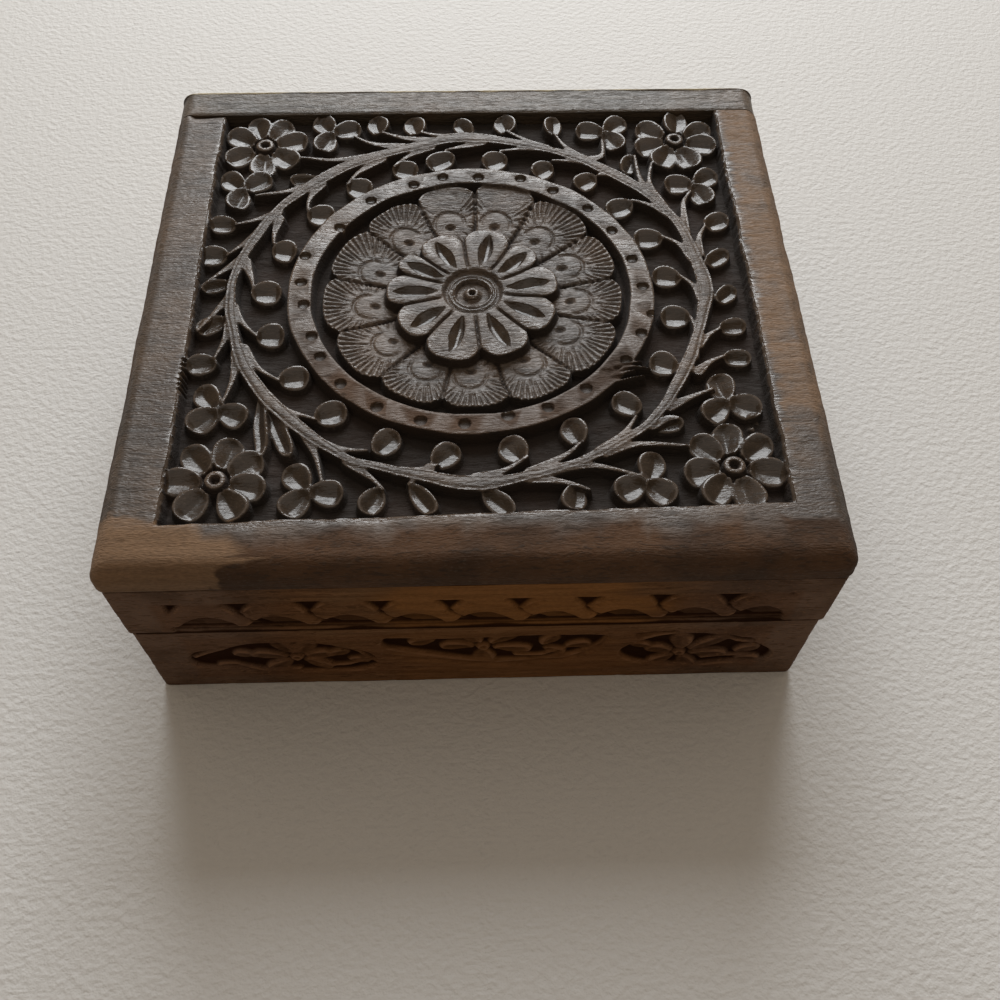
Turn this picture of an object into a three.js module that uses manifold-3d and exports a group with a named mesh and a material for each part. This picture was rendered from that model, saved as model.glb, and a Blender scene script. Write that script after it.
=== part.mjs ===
// Carved trinket box: a hardwood box with a hinged lid whose top is carved in relief.
// Millimetres, +Z up. The origin is the bottom centre of the shut box, and its front faces -Y.
import * as THREE from 'three';
import { mergeVertices } from 'three/addons/utils/BufferGeometryUtils.js';
import Module from 'manifold-3d';

const wasm = await Module();
wasm.setup();

// Overall box
const boxWidth = 150;
const boxDepth = 142.5;
const boxHeight = 56.5;
const partingHeight = 28.8;
const partingGap = 0.4;

// Lid top
const topThickness = 7.7;
const topEdgeRound = 4.9;
const topBackEdgeRound = 1.0;
const topUnderRound = 1.2;
const topCornerRound = 3;
const topOverhang = 0.75;
const backStripWidth = 9;
const stripSeam = 0.3;

// Lid rails, base walls and bottom board
const railThickness = 9.5;
const baseSetIn = 0.5;
const wallCornerRound = 1.5;
const cornerRebate = 4.5;
const boardThickness = 4;
const boardRebate = 3.5;
const boardRaise = 0.6;
const boardClearance = 0.3;
const glueGap = 0.1;

// Sunk field of the lid top
const borderLeft = 12.8;
const borderRight = 12;
const borderFrontLeft = 11.5;
const borderFrontRight = 14;
const fieldDepth = 4;

// Ring with punched holes
const ringRadius = 41.5;
const ringWidth = 5.5;
const ringHeight = 3.75;
const ringBevel = 0.4;
const ringHoleRadius = 1.1;
const ringHoleDepth = 1.5;

// Rosette inside the ring
const rosetteNotch = 2.4;
const rosetteRimHeight = 2.75;
const rosetteFanHeight = 2.1;
const rosetteBowlHeight = 1.5;
const rosetteBowlRadius = 23.6;
const rosetteFanWidth = 6.5;
const rosetteFanGroove = 0.7;
const rosetteLobeGroove = 0.9;
const rosetteDotPlace = 22.3;
const rosetteDotRadius = 1.1;
const rosetteDotDepth = 0.8;

// Central flower
const flowerNotch = 3.5;
const flowerHeight = 3.85;
const flowerGouge = 1.4;
const eyeRadius = 8;
const eyeSink = 1.5;
const eyeRingRadius = 5.5;
const eyeRingWidth = 1.6;
const eyeRingRise = 0.7;
const eyePipRadius = 1.8;
const eyePipRise = 0.7;
const eyePipHoleRadius = 0.5;

// Corner flowers, trefoils and leaves
const cornerFlowerRadius = 6.9;
const cornerPetalLength = 7.4;
const cornerPetalWidth = 5.6;
const cornerButtonRadius = 2.3;
const cornerButtonHeight = 3.5;
const cornerButtonHoleRadius = 1;
const trefoilRadius = 3.7;
const trefoilPetalLength = 6.6;
const trefoilPetalWidth = 5.4;
const leafHeight = 3.3;
const leafGouge = 1.4;

// Vine and side stems
const vineHeight = 3.35;
const vineFlank = 0.35;
const stemWidth = 1.6;
const stemTipWidth = 0.8;
const stemHeight = 2.6;

// Wavy ribbon band on the lid rails
const ribbonBandLow = 31.3;
const ribbonBandHeight = 10.7;
const ribbonMarginLeft = 10.9;
const ribbonMarginRight = 8.1;
const ribbonArches = 9;
const ribbonTopNotch = 5.3;
const ribbonLowNotch = 4.4;
const ribbonDepth = 1.3;

// Flower band on the base walls
const flowerBandDepth = 1.4;
const bandStemWidth = 1.8;
const bandStemHeight = 1.15;
const bandFlowerRadius = 5.4;
const bandPetalLength = 6.6;
const bandPetalWidth = 4.6;
const bandPetalHeight = 1.3;
const bandPetalGouge = 0.7;
const bandButtonRadius = 1.6;
const bandLeafLength = 5.6;
const bandLeafWidth = 4.2;

// Brass butt hinges and their screws
const hingeSpacing = 84;
const hingeSetIn = 2;
const hingeStopAngle = 107;
const hingeLength = 18;
const leafPlateDepth = 6;
const leafPlateThickness = 0.8;
const knuckleRadius = 1.5;
const knuckleCount = 3;
const knuckleGap = 0.3;
const pinRadius = 0.75;
const pinClearance = 0.09;
const hingeClearance = 0.3;
const screwSpacing = 11;
const screwInset = 2.7;
const screwLength = 6;
const screwHeadRadius = 1.5;
const screwHeadDepth = 0.75;
const screwShankRadius = 0.75;
const screwSlotWidth = 0.35;
const screwSlotDepth = 0.3;
const screwClearance = 0.2;

// How far a cut runs past its piece, how deep relief is rooted in its ground, and how near two
// points of one surface lie to count as the same
const overrun = 2;
const root = 0.6;
const mergeReach = 1e-5;

// Facets
const petalSides = 7;
const bandPetalSides = 5;
const punchSides = 5;
const ringSides = 44;
const eyeSides = 12;
const hingeSides = 10;
const screwSides = 8;
const roundSteps = 4;
const underRoundSteps = 2;
const cornerSteps = 3;
const lobeSteps = 12;
const flowerPetalSteps = 6;
const stemSteps = 3;
const bandStemSteps = 14;
const notchSteps = 6;

// Levels and faces worked out from the sizes above
const topUnderside = boxHeight - topThickness;
const railWidth = boxWidth - 2 * topOverhang;
const railDepth = boxDepth - 2 * topOverhang;
const baseWidth = railWidth - 2 * baseSetIn;
const baseDepth = railDepth - 2 * baseSetIn;
const wallThickness = railThickness - baseSetIn;
const cavityWidth = railWidth - 2 * railThickness;
const cavityDepth = railDepth - 2 * railThickness;
const baseRim = partingHeight - partingGap / 2;
const lidRim = partingHeight + partingGap / 2;
const railTop = topUnderside - glueGap;
const seamY = boxDepth / 2 - backStripWidth;
const hingeY = baseDepth / 2 - hingeSetIn;
const fieldFloor = boxHeight - fieldDepth;
const fieldWidth = boxWidth - borderLeft - borderRight;
const fieldLength = boxDepth - (borderFrontLeft + borderFrontRight) / 2 - backStripWidth;

// Turns a three.js geometry into a solid for joining and cutting
function solid(geometry) {
  const shell = geometry.clone();
  shell.deleteAttribute('normal');
  shell.deleteAttribute('uv');
  const merged = mergeVertices(shell, mergeReach);
  return new wasm.Manifold(new wasm.Mesh({
    numProp: 3,
    vertProperties: Float32Array.from(merged.attributes.position.array),
    triVerts: Uint32Array.from(merged.index.array),
  }));
}

// Turns a solid back into a geometry for a mesh
function geometryOf(body) {
  const mesh = body.getMesh();
  const geometry = new THREE.BufferGeometry();
  geometry.setAttribute('position', new THREE.BufferAttribute(mesh.vertProperties, 3));
  geometry.setIndex(new THREE.BufferAttribute(mesh.triVerts, 1));
  geometry.computeVertexNormals();
  return geometry;
}

function moved(body, x, y, z) {
  return body.transform(new THREE.Matrix4().makeTranslation(x, y, z).elements);
}

function turnedAbout(body, axis, angle) {
  const unit = new THREE.Vector3(axis === 'x' ? 1 : 0, axis === 'y' ? 1 : 0, axis === 'z' ? 1 : 0);
  return body.transform(new THREE.Matrix4().makeRotationAxis(unit, angle).elements);
}

function mirroredUp(body) {
  return body.mirror([0, 0, 1]);
}

function joined(bodies) {
  return wasm.Manifold.union(bodies);
}

function block(width, depth, height, x, y, low) {
  return moved(solid(new THREE.BoxGeometry(width, depth, height)), x, y, low + height / 2);
}

function extruded(points, depth) {
  const shape = new THREE.Shape(points);
  return solid(new THREE.ExtrudeGeometry(shape, { depth, bevelEnabled: false }));
}

function turned(profile, sides) {
  const points = profile.map(([radius, height]) => new THREE.Vector2(radius, height));
  return turnedAbout(solid(new THREE.LatheGeometry(points, sides)), 'x', Math.PI / 2);
}

function closedSolid(points, faces) {
  const geometry = new THREE.BufferGeometry();
  geometry.setAttribute('position', new THREE.Float32BufferAttribute(points.flat(), 3));
  geometry.setIndex(faces.flat());
  return solid(geometry);
}

// Points of a quarter round, from one angle to the next
function arcPoints(x, y, radius, from, steps) {
  const points = [];
  for (let k = 0; k <= steps; k++) {
    const angle = from + (Math.PI / 2) * (k / steps);
    points.push(new THREE.Vector2(x + radius * Math.cos(angle), y + radius * Math.sin(angle)));
  }
  return points;
}

function roundedRectangle(width, depth, radius, steps) {
  const x = width / 2 - radius;
  const y = depth / 2 - radius;
  return [
    ...arcPoints(x, y, radius, 0, steps),
    ...arcPoints(-x, y, radius, Math.PI / 2, steps),
    ...arcPoints(-x, -y, radius, Math.PI, steps),
    ...arcPoints(x, -y, radius, Math.PI * 1.5, steps),
  ];
}

// A closed form of rings of points at the given angles, from its foot to its middle
function polarSolid(angles, rings, middleHeight) {
  const stations = angles.length;
  const points = [];
  for (const ring of rings) {
    angles.forEach((angle, k) => {
      const [radius, height] = ring(k);
      points.push([radius * Math.cos(angle), radius * Math.sin(angle), height]);
    });
  }
  const footMiddle = points.length;
  const topMiddle = footMiddle + 1;
  points.push([0, 0, -root], [0, 0, middleHeight]);
  const faces = [];
  for (let k = 0; k < stations; k++) {
    const next = (k + 1) % stations;
    faces.push([next, k, footMiddle]);
    for (let level = 0; level + 1 < rings.length; level++) {
      const below = level * stations;
      const above = below + stations;
      faces.push([below + k, below + next, above + next], [below + k, above + next, above + k]);
    }
    const last = (rings.length - 1) * stations;
    faces.push([last + k, last + next, topMiddle]);
  }
  return closedSolid(points, faces);
}

// An oval petal or leaf with upright sides and a gouged hollow along it
const petalSwellShare = 0.16;
const hollowReachShare = 0.5;
const hollowLeanShare = 0.12;
function petal(centre, angle, length, width, height, gouge, sides = petalSides) {
  const rim = [];
  for (let k = 0; k < sides; k++) {
    const turn = (2 * Math.PI * k) / sides;
    const along = (Math.cos(turn) * length) / 2;
    const across = ((Math.sin(turn) * width) / 2) * (1 + petalSwellShare * Math.cos(turn));
    rim.push([along, across]);
  }
  const hollow = [-1, 1].map((side) => [
    (side * hollowReachShare * length) / 2, (hollowLeanShare * width) / 2, height - gouge]);
  const points = [
    ...rim.map(([along, across]) => [along, across, -root]),
    ...rim.map(([along, across]) => [along, across, height]),
    ...hollow,
  ];
  const hollowEnd = (k) => {
    const turn = (2 * Math.PI * (k + 0.5)) / sides;
    return 2 * sides + (Math.cos(turn) > 0 ? 1 : 0);
  };
  const faces = [];
  for (let k = 0; k < sides; k++) {
    const next = (k + 1) % sides;
    const top = sides + k;
    const topNext = sides + next;
    faces.push([k, next, topNext], [k, topNext, top], [top, topNext, hollowEnd(k)]);
    if (k > 1) {
      faces.push([0, k, k - 1]);
    }
    const before = hollowEnd((k + sides - 1) % sides);
    if (before !== hollowEnd(k)) {
      faces.push([before, top, hollowEnd(k)]);
    }
  }
  return moved(turnedAbout(closedSolid(points, faces), 'z', angle), centre.x, centre.y, 0);
}

// A stem with a crowned ridge along a plane curve, tapering from its start to its tip
function stem(curve, steps, width, tipWidth, height) {
  const points = [];
  const faces = [];
  const spread = (height + root) / height;
  for (let k = 0; k <= steps; k++) {
    const share = k / steps;
    const at = curve.getPoint(share);
    const along = curve.getTangent(share);
    const half = (spread * THREE.MathUtils.lerp(width, tipWidth, share)) / 2;
    points.push([at.x - along.y * half, at.y + along.x * half, -root]);
    points.push([at.x, at.y, height]);
    points.push([at.x + along.y * half, at.y - along.x * half, -root]);
  }
  for (let k = 0; k < steps; k++) {
    const [left, ridge, right] = [3 * k, 3 * k + 1, 3 * k + 2];
    const [leftNext, ridgeNext, rightNext] = [left + 3, ridge + 3, right + 3];
    faces.push([right, rightNext, ridgeNext], [right, ridgeNext, ridge]);
    faces.push([ridge, ridgeNext, leftNext], [ridge, leftNext, left]);
    faces.push([left, leftNext, rightNext], [left, rightNext, right]);
  }
  const end = 3 * steps;
  faces.push([0, 2, 1], [end + 2, end, end + 1]);
  return closedSolid(points, faces);
}

// A flat raised band that runs back into itself, with a place and a half width at each station
function closedBand(line, halfWidths, height, flank) {
  const count = line.length;
  const points = [];
  line.forEach((at, k) => {
    const before = line[(k + count - 1) % count];
    const after = line[(k + 1) % count];
    const ahead = after.clone().sub(before).normalize();
    const corner = (reach, level) => [at.x - ahead.y * reach, at.y + ahead.x * reach, level];
    const half = halfWidths[k];
    points.push(corner(half + flank, -root), corner(half, height));
    points.push(corner(-half, height), corner(-half - flank, -root));
  });
  const faces = [];
  for (let k = 0; k < count; k++) {
    const here = [0, 1, 2, 3].map((corner) => 4 * k + corner);
    const next = [0, 1, 2, 3].map((corner) => 4 * ((k + 1) % count) + corner);
    for (const [low, high] of [[3, 2], [2, 1], [1, 0], [0, 3]]) {
      faces.push([here[low], next[low], next[high]], [here[low], next[high], here[high]]);
    }
  }
  return closedSolid(points, faces);
}

// The places and spans in the carved field are counted in shares of its width and its depth
const acrossShares = 125;
const upShares = 121;
function place(across, up) {
  return new THREE.Vector2((across * fieldWidth) / acrossShares, (up * fieldLength) / upShares);
}

function span(across) {
  return place(across, 0).x;
}

// Main vine, anticlockwise from the right: places and widths
const vineShares = [
  [53, 0, 3.7], [52.8, 5, 3.7], [52, 10, 3.1], [51, 15, 2.8], [49.8, 20, 2.6], [48, 24, 2.5],
  [45.5, 28.5, 2.4], [42, 33, 2.7], [38, 37, 3.2], [33, 41, 3.2], [28, 44.4, 2.6], [22, 47.4, 2.3],
  [15, 50, 2.6], [8, 52, 3.1], [3, 53, 3.6], [-3, 53, 3.5], [-9, 51.8, 3.3], [-15, 49.8, 3.1],
  [-22, 47.3, 3.1], [-28, 44.5, 3.3], [-34, 40.7, 3.5], [-39, 36.3, 3], [-43.5, 31.5, 2.6],
  [-47.3, 26, 2.4], [-50.2, 20, 2.6], [-53, 12.5, 2.5], [-54.5, 5, 2.1], [-54.3, -2, 2.5],
  [-53.3, -8, 2.3], [-51.6, -14, 2.5], [-49.3, -20, 2.9], [-45.2, -27, 3.1], [-40.5, -32.6, 3.1],
  [-35.5, -37.6, 2.9], [-30, -42, 2.4], [-25, -45, 1.9], [-18, -47.3, 2.3], [-9, -49.6, 3.1],
  [0, -51.2, 3.7], [6, -50.6, 2.9], [12, -49.2, 2.3], [19, -47, 2.1], [25, -44.3, 2.3],
  [30.5, -41, 2.1], [35.3, -37.8, 2], [38.7, -34, 2.2], [41.7, -29.5, 2.6], [44.8, -24.3, 2.9],
  [47.5, -18.5, 2.9], [49.8, -12, 2.5], [51.8, -5.5, 3.1],
];

// Thin stems: where each leaves the vine, its middle and its tip
const stemShares = [
  [-52, 11, -50.6, 6, -50, 3], [-45.6, 25, -46.5, 20, -46.3, 17], [-36.5, 37, -39, 32, -39.3, 28],
  [-22, 46, -27.5, 41, -30.2, 36.8], [-10, 50, -15.6, 46.6, -19, 43],
  [3, 51.6, -2, 50, -6.3, 48.6], [24, 47.2, 15, 48.9, 7.6, 48.2], [33, 41.5, 26, 44.3, 20.6, 44.4],
  [41, 34, 36, 38, 31.6, 39.3], [49, 22.8, 44, 27.8, 39, 30], [51.6, 9.5, 48.6, 15, 45.2, 17.4],
  [52, -3, 50.4, 2, 47.8, 5], [47.8, -19, 49.2, -13, 48.7, -7.6],
  [43.3, -26.8, 44, -24.8, 43.9, -23.2], [25.5, -43.8, 31, -39.2, 34, -34.8],
  [11, -48.8, 17.5, -45, 21.4, -41.6], [0, -49.9, 6, -47.9, 10.6, -45],
  [-16, -48, -11, -47.5, -7.8, -46.4], [-32.5, -40.4, -28, -41.9, -22.3, -42.6],
  [-44, -28, -39.5, -32, -33.6, -34.4], [-50, -15, -46.4, -20.2, -42, -23.9],
  [-53.6, -3, -51.4, -7.2, -47.6, -11.4], [-46, 27.4, -51, 24.8, -55.6, 23.3],
  [-49, 23, -53, 17.3, -56.8, 13.3], [-53.4, 12, -57.2, 8.2, -60.3, 5],
  [-54.7, 0, -57.3, -4, -60.6, -9.8], [-54, -8, -54.6, -13, -56, -17.4],
  [-51.4, -16, -51.6, -24, -53.2, -29.6], [-35, -38.6, -32.6, -44, -31, -50.2],
  [-26, -45, -22, -48.6, -18.6, -52.2], [-9.5, -47.2, -11.6, -49.3, -13.4, -51.2],
  [10, -50, 17, -50.9, 22.8, -53], [15.5, -48.3, 24, -47.2, 33.4, -49.8],
  [26.5, -44, 34, -41.9, 43.4, -42.7], [41, -32.6, 46, -30.2, 51, -28],
  [37, -37.2, 40, -36, 42.4, -35.6], [48.6, -23, 51.2, -20.6, 54.8, -18.8],
  [49.4, -15.8, 52, -13, 54.9, -10.9], [53, 12, 53.6, 17.4, 55.4, 21],
  [50.6, 19, 51.2, 28, 53.6, 33.2], [46.6, 27.4, 44, 36, 45.2, 43.2],
  [44.6, 30.4, 41.6, 38, 41.2, 46.2], [29.4, 44.6, 33, 46.5, 33.4, 52],
  [29, 44.6, 24, 49.4, 21.4, 54.6], [19, 49.2, 14, 52.4, 9.6, 56], [-1, 54.2, -7, 54.2, -12.4, 55.7],
  [-10, 52.6, -17, 53.6, -22, 55.7], [-17, 50.4, -24.4, 51.4, -29, 54.2],
  [-24, 47, -34, 45.6, -42.2, 46.6], [-38.6, 36.6, -45.5, 34.4, -52, 33.2],
];

// Leaves: the middle, the way the tip points in degrees, the length and the width
const leafShares = [
  [-46.8, 1.8, 5, 7.2, 6.6], [-43.6, 14.9, -12, 6, 6.2], [-36, 26.6, -6, 7, 6.4],
  [-27.2, 35.6, -20, 6.6, 6.4], [-16.2, 42, -16, 6.6, 6], [-7.3, 45.2, 208, 7.6, 5.8],
  [6, 45, 205, 6.6, 6.2], [18, 41.6, 215, 6, 5.6], [28.2, 37.3, 215, 6.6, 5.4],
  [35.9, 27.9, 203, 7, 6], [41.7, 17.3, 178, 6.8, 5.6], [44.8, 5, 168, 6.6, 5.6],
  [45.3, -7, 176, 6.8, 5.8], [41.3, -20.6, 158, 6.6, 6.2], [32.4, -31.4, 152, 6.6, 5.6],
  [20.7, -38.4, 112, 6.4, 5.8], [8, -42.8, 130, 6.6, 6], [-6.2, -43.9, 38, 7, 5.8],
  [-18.5, -40.4, 46, 7, 6], [-30.3, -32.6, 18, 7.2, 6], [-38.7, -23.1, 9, 6.6, 5.8],
  [-44.6, -11, 0, 6.4, 6.4], [-58.8, 23.7, 178, 6.4, 5], [-60, 13.6, 180, 6.6, 5.4],
  [-58.4, 4.2, 195, 6.4, 3.2], [-58, -7.6, 212, 7, 4.2], [-58.8, -18.8, 186, 6.6, 5],
  [-20.7, -54.7, 236, 6.4, 5.2], [-10.6, -54.4, -52, 8, 4.2], [4.4, -55.4, -42, 8, 4.6],
  [19.6, -54.6, 258, 6, 5.2], [40.2, -36.8, 8, 6.8, 3.6], [57.5, -19.2, -8, 5.8, 4.2],
  [57.9, -10.2, 2, 6, 4.2], [57.6, -0.6, 40, 6.2, 4.4], [57, 10.9, 36, 7, 4.4],
  [58.5, 22.7, 24, 6.6, 5.2], [39.4, 43.2, 66, 7, 4.6], [21.2, 57.9, 84, 6.8, 4.6],
  [9.2, 58.8, 108, 6.2, 5.8], [-1.4, 57.6, 126, 7, 4.6], [-14, 58.4, 106, 6.2, 5.8],
  [-23.3, 58.8, 104, 6.2, 5.8], [-40.6, 39, 180, 7.2, 3.4], [-44.6, -36, -84, 15, 3.2],
  [-40.6, -37.4, -66, 13, 3.6],
];

// Trefoils: the middle, then the way each of the three petals points
const trefoilShares = [
  [-34.6, 56.3, 127, 18, 243], [-55, 36.2, 143, 36, 252], [34.2, 55.6, 172, 42, -58],
  [54.7, 35.9, 178, 33, -64], [-54.2, -31, 127, 224, -24], [-33.6, -51.8, 128, -8, 230],
  [53.9, -31, 103, 219, -22], [34.4, -50.8, 68, 206, -40],
];

// Corner flowers: the middle, then the way each of the seven petals points
const cornerFlowerShares = [
  [-51.4, 51.3, 106, 60, 14, -38, 270, 209, 151], [51.9, 52, 82, 147, 196, 241, -68, -13, 28],
  [-52.5, -49.2, 32, 76, 129, 180, 232, 303, -12], [52.8, -47.8, 94, 138, 189, 233, 287, -11, 40],
];

// Central petals and rosette lobes, clockwise: the middle and the clockwise cut in degrees, the reach
const flowerPetalShares = [
  [118, 97, 19], [76, 57, 19.6], [42, 27, 18.9], [8, -8, 19.6], [-27, -45, 19.8], [-65, -85, 20.2],
  [-106, -128, 20.6], [-143, -165, 19.2], [-180, -199, 19.6], [-211, -223, 19.3],
];
const rosetteLobeShares = [
  [103, 88, 34.5], [76, 62, 35.4], [48, 33, 34.7], [21, 6.5, 34], [-6, -17.5, 34], [-29, -48, 34.4],
  [-60, -76, 33.6], [-92, -103, 33], [-116, -130, 33.5], [-143, -159, 34], [-172, -189, 34],
  [-198, -219, 33.5], [-229, -246, 33.3],
];

// Holes punched in the ring, which were set out by eye
const punchShares = [
  [-38.5, 12], [-38.8, 3.8], [-37.8, -3], [-35.5, -12.2], [-33.3, -18.3], [-28.3, -25.8],
  [-20.5, -32], [-11.3, -35.7], [-2, -36.8], [7, -34.8], [15.3, -33], [23.7, -28], [33, -20.5],
  [37, -13], [40, -7.3], [38.7, 1], [37, 9.5], [33.2, 19], [28, 26.5], [20, 33], [12.2, 37.2],
  [2, 37.8], [-6.7, 38], [-14, 35.5], [-24, 30], [-31, 21.2],
];

// The middles of the ring, the rosette and the flower, and how far the ring is squashed in depth
const ringMiddleShares = [-0.3, 0.8];
const rosetteMiddleShares = [0, 1.1];
const flowerMiddleShares = [0, 0.4];
const ringDepthShare = 0.972;

function putOn(body, [across, up], level) {
  const at = place(across, up);
  return moved(body, at.x, at.y, level);
}

function sideStem([fromAcross, fromUp, middleAcross, middleUp, toAcross, toUp]) {
  const from = place(fromAcross, fromUp);
  const to = place(toAcross, toUp);
  const chordMiddle = from.clone().add(to).divideScalar(2);
  const bend = place(middleAcross, middleUp).multiplyScalar(2).sub(chordMiddle);
  const curve = new THREE.QuadraticBezierCurve(from, bend, to);
  return stem(curve, stemSteps, stemWidth, stemTipWidth, stemHeight);
}

function leaf([across, up, headingDegrees, length, width]) {
  return petal(place(across, up), THREE.MathUtils.degToRad(headingDegrees),
    span(length), span(width), leafHeight, leafGouge);
}

// Petals round a middle, each pointing its own way
function petalsRound(middle, ways, radius, length, width, height, gouge, sides) {
  return ways.map((degrees) => {
    const angle = THREE.MathUtils.degToRad(degrees);
    const offset = new THREE.Vector2(Math.cos(angle), Math.sin(angle)).multiplyScalar(radius);
    return petal(middle.clone().add(offset), angle, length, width, height, gouge, sides);
  });
}

function trefoil([across, up, ...ways]) {
  return petalsRound(place(across, up), ways, trefoilRadius, trefoilPetalLength, trefoilPetalWidth,
    leafHeight, leafGouge, petalSides);
}

function cornerFlower([across, up, ...ways]) {
  const seat = cornerFlowerRadius / 2;
  const button = turned([
    [0, -root], [seat, -root], [seat, leafHeight / 2],
    [cornerButtonRadius, leafHeight / 2], [cornerButtonRadius, cornerButtonHeight],
    [cornerButtonHoleRadius, cornerButtonHeight], [0, cornerButtonHeight - cornerButtonHoleRadius],
  ], screwSides);
  const petals = petalsRound(place(across, up), ways, cornerFlowerRadius, cornerPetalLength,
    cornerPetalWidth, leafHeight, leafGouge, petalSides);
  return [...petals, putOn(button, [across, up], 0)];
}

// A conical pit whose rim is at zero height
function punch(radius, depth) {
  return turned([[0, -depth], [radius, 0], [radius, overrun], [0, overrun]], punchSides);
}

// The flat ring, with its punched holes
function punchedRing() {
  const inner = ringRadius - ringWidth;
  const ring = turned([
    [inner, -root], [ringRadius, -root], [ringRadius, ringHeight - ringBevel],
    [ringRadius - ringBevel, ringHeight], [inner + ringBevel, ringHeight],
    [inner, ringHeight - ringBevel], [inner, -root],
  ], ringSides);
  const oval = ring.transform(new THREE.Matrix4().makeScale(1, ringDepthShare, 1).elements);
  const hole = punch(ringHoleRadius, ringHoleDepth);
  const holes = punchShares.map((shares) => putOn(hole, shares, ringHeight));
  return putOn(oval, ringMiddleShares, 0).subtract(joined(holes));
}

// Stations round a middle for lobes listed clockwise. Each has its angle, the reach of its lobe,
// and a phase from -1 at the lobe's clockwise cut through 0 at its middle to 1 at the next cut
function lobeStations(lobes, steps) {
  const stations = [];
  for (let row = lobes.length - 1; row >= 0; row--) {
    const [middle, cut, reach] = lobes[row];
    const nextCut = row > 0 ? lobes[row - 1][1] : lobes[lobes.length - 1][1] + 360;
    for (let step = 0; step < steps; step++) {
      const phase = (2 * step) / steps - 1;
      const degrees = THREE.MathUtils.lerp(middle, phase < 0 ? cut : nextCut, Math.abs(phase));
      stations.push({ angle: THREE.MathUtils.degToRad(degrees), phase, reach: span(reach) });
    }
  }
  return stations;
}

// The rosette: scalloped lobes with a fan of grooves at the rim and a dot each, round a bowl
function rosette() {
  const stations = lobeStations(rosetteLobeShares, lobeSteps);
  const scallop = (k) => stations[k].reach - rosetteNotch * stations[k].phase ** 4;
  const lobeDip = (k) => rosetteLobeGroove * stations[k].phase ** 6;
  const fanDip = (k) => (k % 2 === 0 ? rosetteFanGroove : 0);
  const body = polarSolid(stations.map(({ angle }) => angle), [
    (k) => [scallop(k), -root],
    (k) => [scallop(k), rosetteRimHeight - fanDip(k) - lobeDip(k)],
    (k) => [stations[k].reach - rosetteFanWidth, rosetteFanHeight - lobeDip(k)],
    (k) => [rosetteBowlRadius, rosetteBowlHeight - lobeDip(k) / 2],
  ], rosetteBowlHeight);
  const dot = punch(rosetteDotRadius, rosetteDotDepth);
  const dots = stations.filter(({ phase }) => phase === 0).map(({ angle }) => moved(dot,
    rosetteDotPlace * Math.cos(angle), rosetteDotPlace * Math.sin(angle), rosetteBowlHeight));
  return putOn(body.subtract(joined(dots)), rosetteMiddleShares, 0);
}

// The central flower: petals with a gouged hollow each, round a turned eye
const gougeReachShare = 0.55;
function centralFlower() {
  const stations = lobeStations(flowerPetalShares, flowerPetalSteps);
  const scallop = (k) => stations[k].reach - flowerNotch * Math.abs(stations[k].phase) ** 3;
  const groove = (k) => (stations[k].phase === -1 ? flowerGouge : 0);
  const gouge = (k) => (stations[k].phase === 0 ? flowerGouge : 0);
  const middle = (k) => THREE.MathUtils.lerp(eyeRadius, stations[k].reach, gougeReachShare);
  const flower = polarSolid(stations.map(({ angle }) => angle), [
    (k) => [scallop(k), -root],
    (k) => [scallop(k), flowerHeight - flowerGouge / 2],
    (k) => [scallop(k) - flowerGouge / 2, flowerHeight - groove(k) / 2],
    (k) => [middle(k), flowerHeight - groove(k) - gouge(k)],
    (k) => [eyeRadius, flowerHeight - groove(k) / 2],
  ], flowerHeight);
  const eyeFloor = flowerHeight - eyeSink;
  const eyeSocket = turned([
    [0, eyeFloor], [eyeRadius - eyeSink / 2, eyeFloor], [eyeRadius, flowerHeight],
    [eyeRadius, flowerHeight + overrun], [0, flowerHeight + overrun],
  ], eyeSides);
  const ringInner = eyeRingRadius - eyeRingWidth;
  const eye = turned([
    [0, eyeFloor - root], [eyeRingRadius, eyeFloor - root], [eyeRingRadius, eyeFloor + eyeRingRise / 2],
    [eyeRingRadius - eyeRingWidth / 2, eyeFloor + eyeRingRise], [ringInner, eyeFloor],
    [eyePipRadius, eyeFloor], [eyePipRadius, eyeFloor + eyePipRise / 2],
    [eyePipHoleRadius, eyeFloor + eyePipRise], [0, eyeFloor],
  ], eyeSides);
  return putOn(flower.subtract(eyeSocket).add(eye), flowerMiddleShares, 0);
}

// The whole relief, with its ground at zero height
function topRelief() {
  const vineLine = vineShares.map(([across, up]) => place(across, up));
  const vineHalves = vineShares.map(([, , width]) => span(width) / 2);
  return joined([
    punchedRing(),
    rosette(),
    centralFlower(),
    closedBand(vineLine, vineHalves, vineHeight, vineFlank),
    ...stemShares.map(sideStem),
    ...leafShares.map(leaf),
    ...trefoilShares.flatMap(trefoil),
    ...cornerFlowerShares.flatMap(cornerFlower),
  ]);
}

// The full top board before it is parted: rounded edges, and a vertical round at each corner
function topBoard() {
  const edgeProfile = (width, farRound) => [
    ...arcPoints(width / 2 - farRound, boxHeight - farRound, farRound, 0, roundSteps),
    ...arcPoints(topEdgeRound - width / 2, boxHeight - topEdgeRound, topEdgeRound, Math.PI / 2,
      roundSteps),
    ...arcPoints(topUnderRound - width / 2, topUnderside + topUnderRound, topUnderRound, Math.PI,
      underRoundSteps),
    ...arcPoints(width / 2 - topUnderRound, topUnderside + topUnderRound, topUnderRound,
      Math.PI * 1.5, underRoundSteps),
  ];
  const across = turnedAbout(extruded(edgeProfile(boxWidth, topEdgeRound), boxDepth), 'x', Math.PI / 2);
  const alongDepth = turnedAbout(
    extruded(edgeProfile(boxDepth, topBackEdgeRound), boxWidth), 'x', Math.PI / 2);
  const plan = extruded(
    roundedRectangle(boxWidth, boxDepth, topCornerRound, cornerSteps), boxHeight);
  return moved(across, 0, boxDepth / 2, 0)
    .intersect(turnedAbout(moved(alongDepth, 0, boxWidth / 2, 0), 'z', Math.PI / 2))
    .intersect(plan);
}

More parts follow.
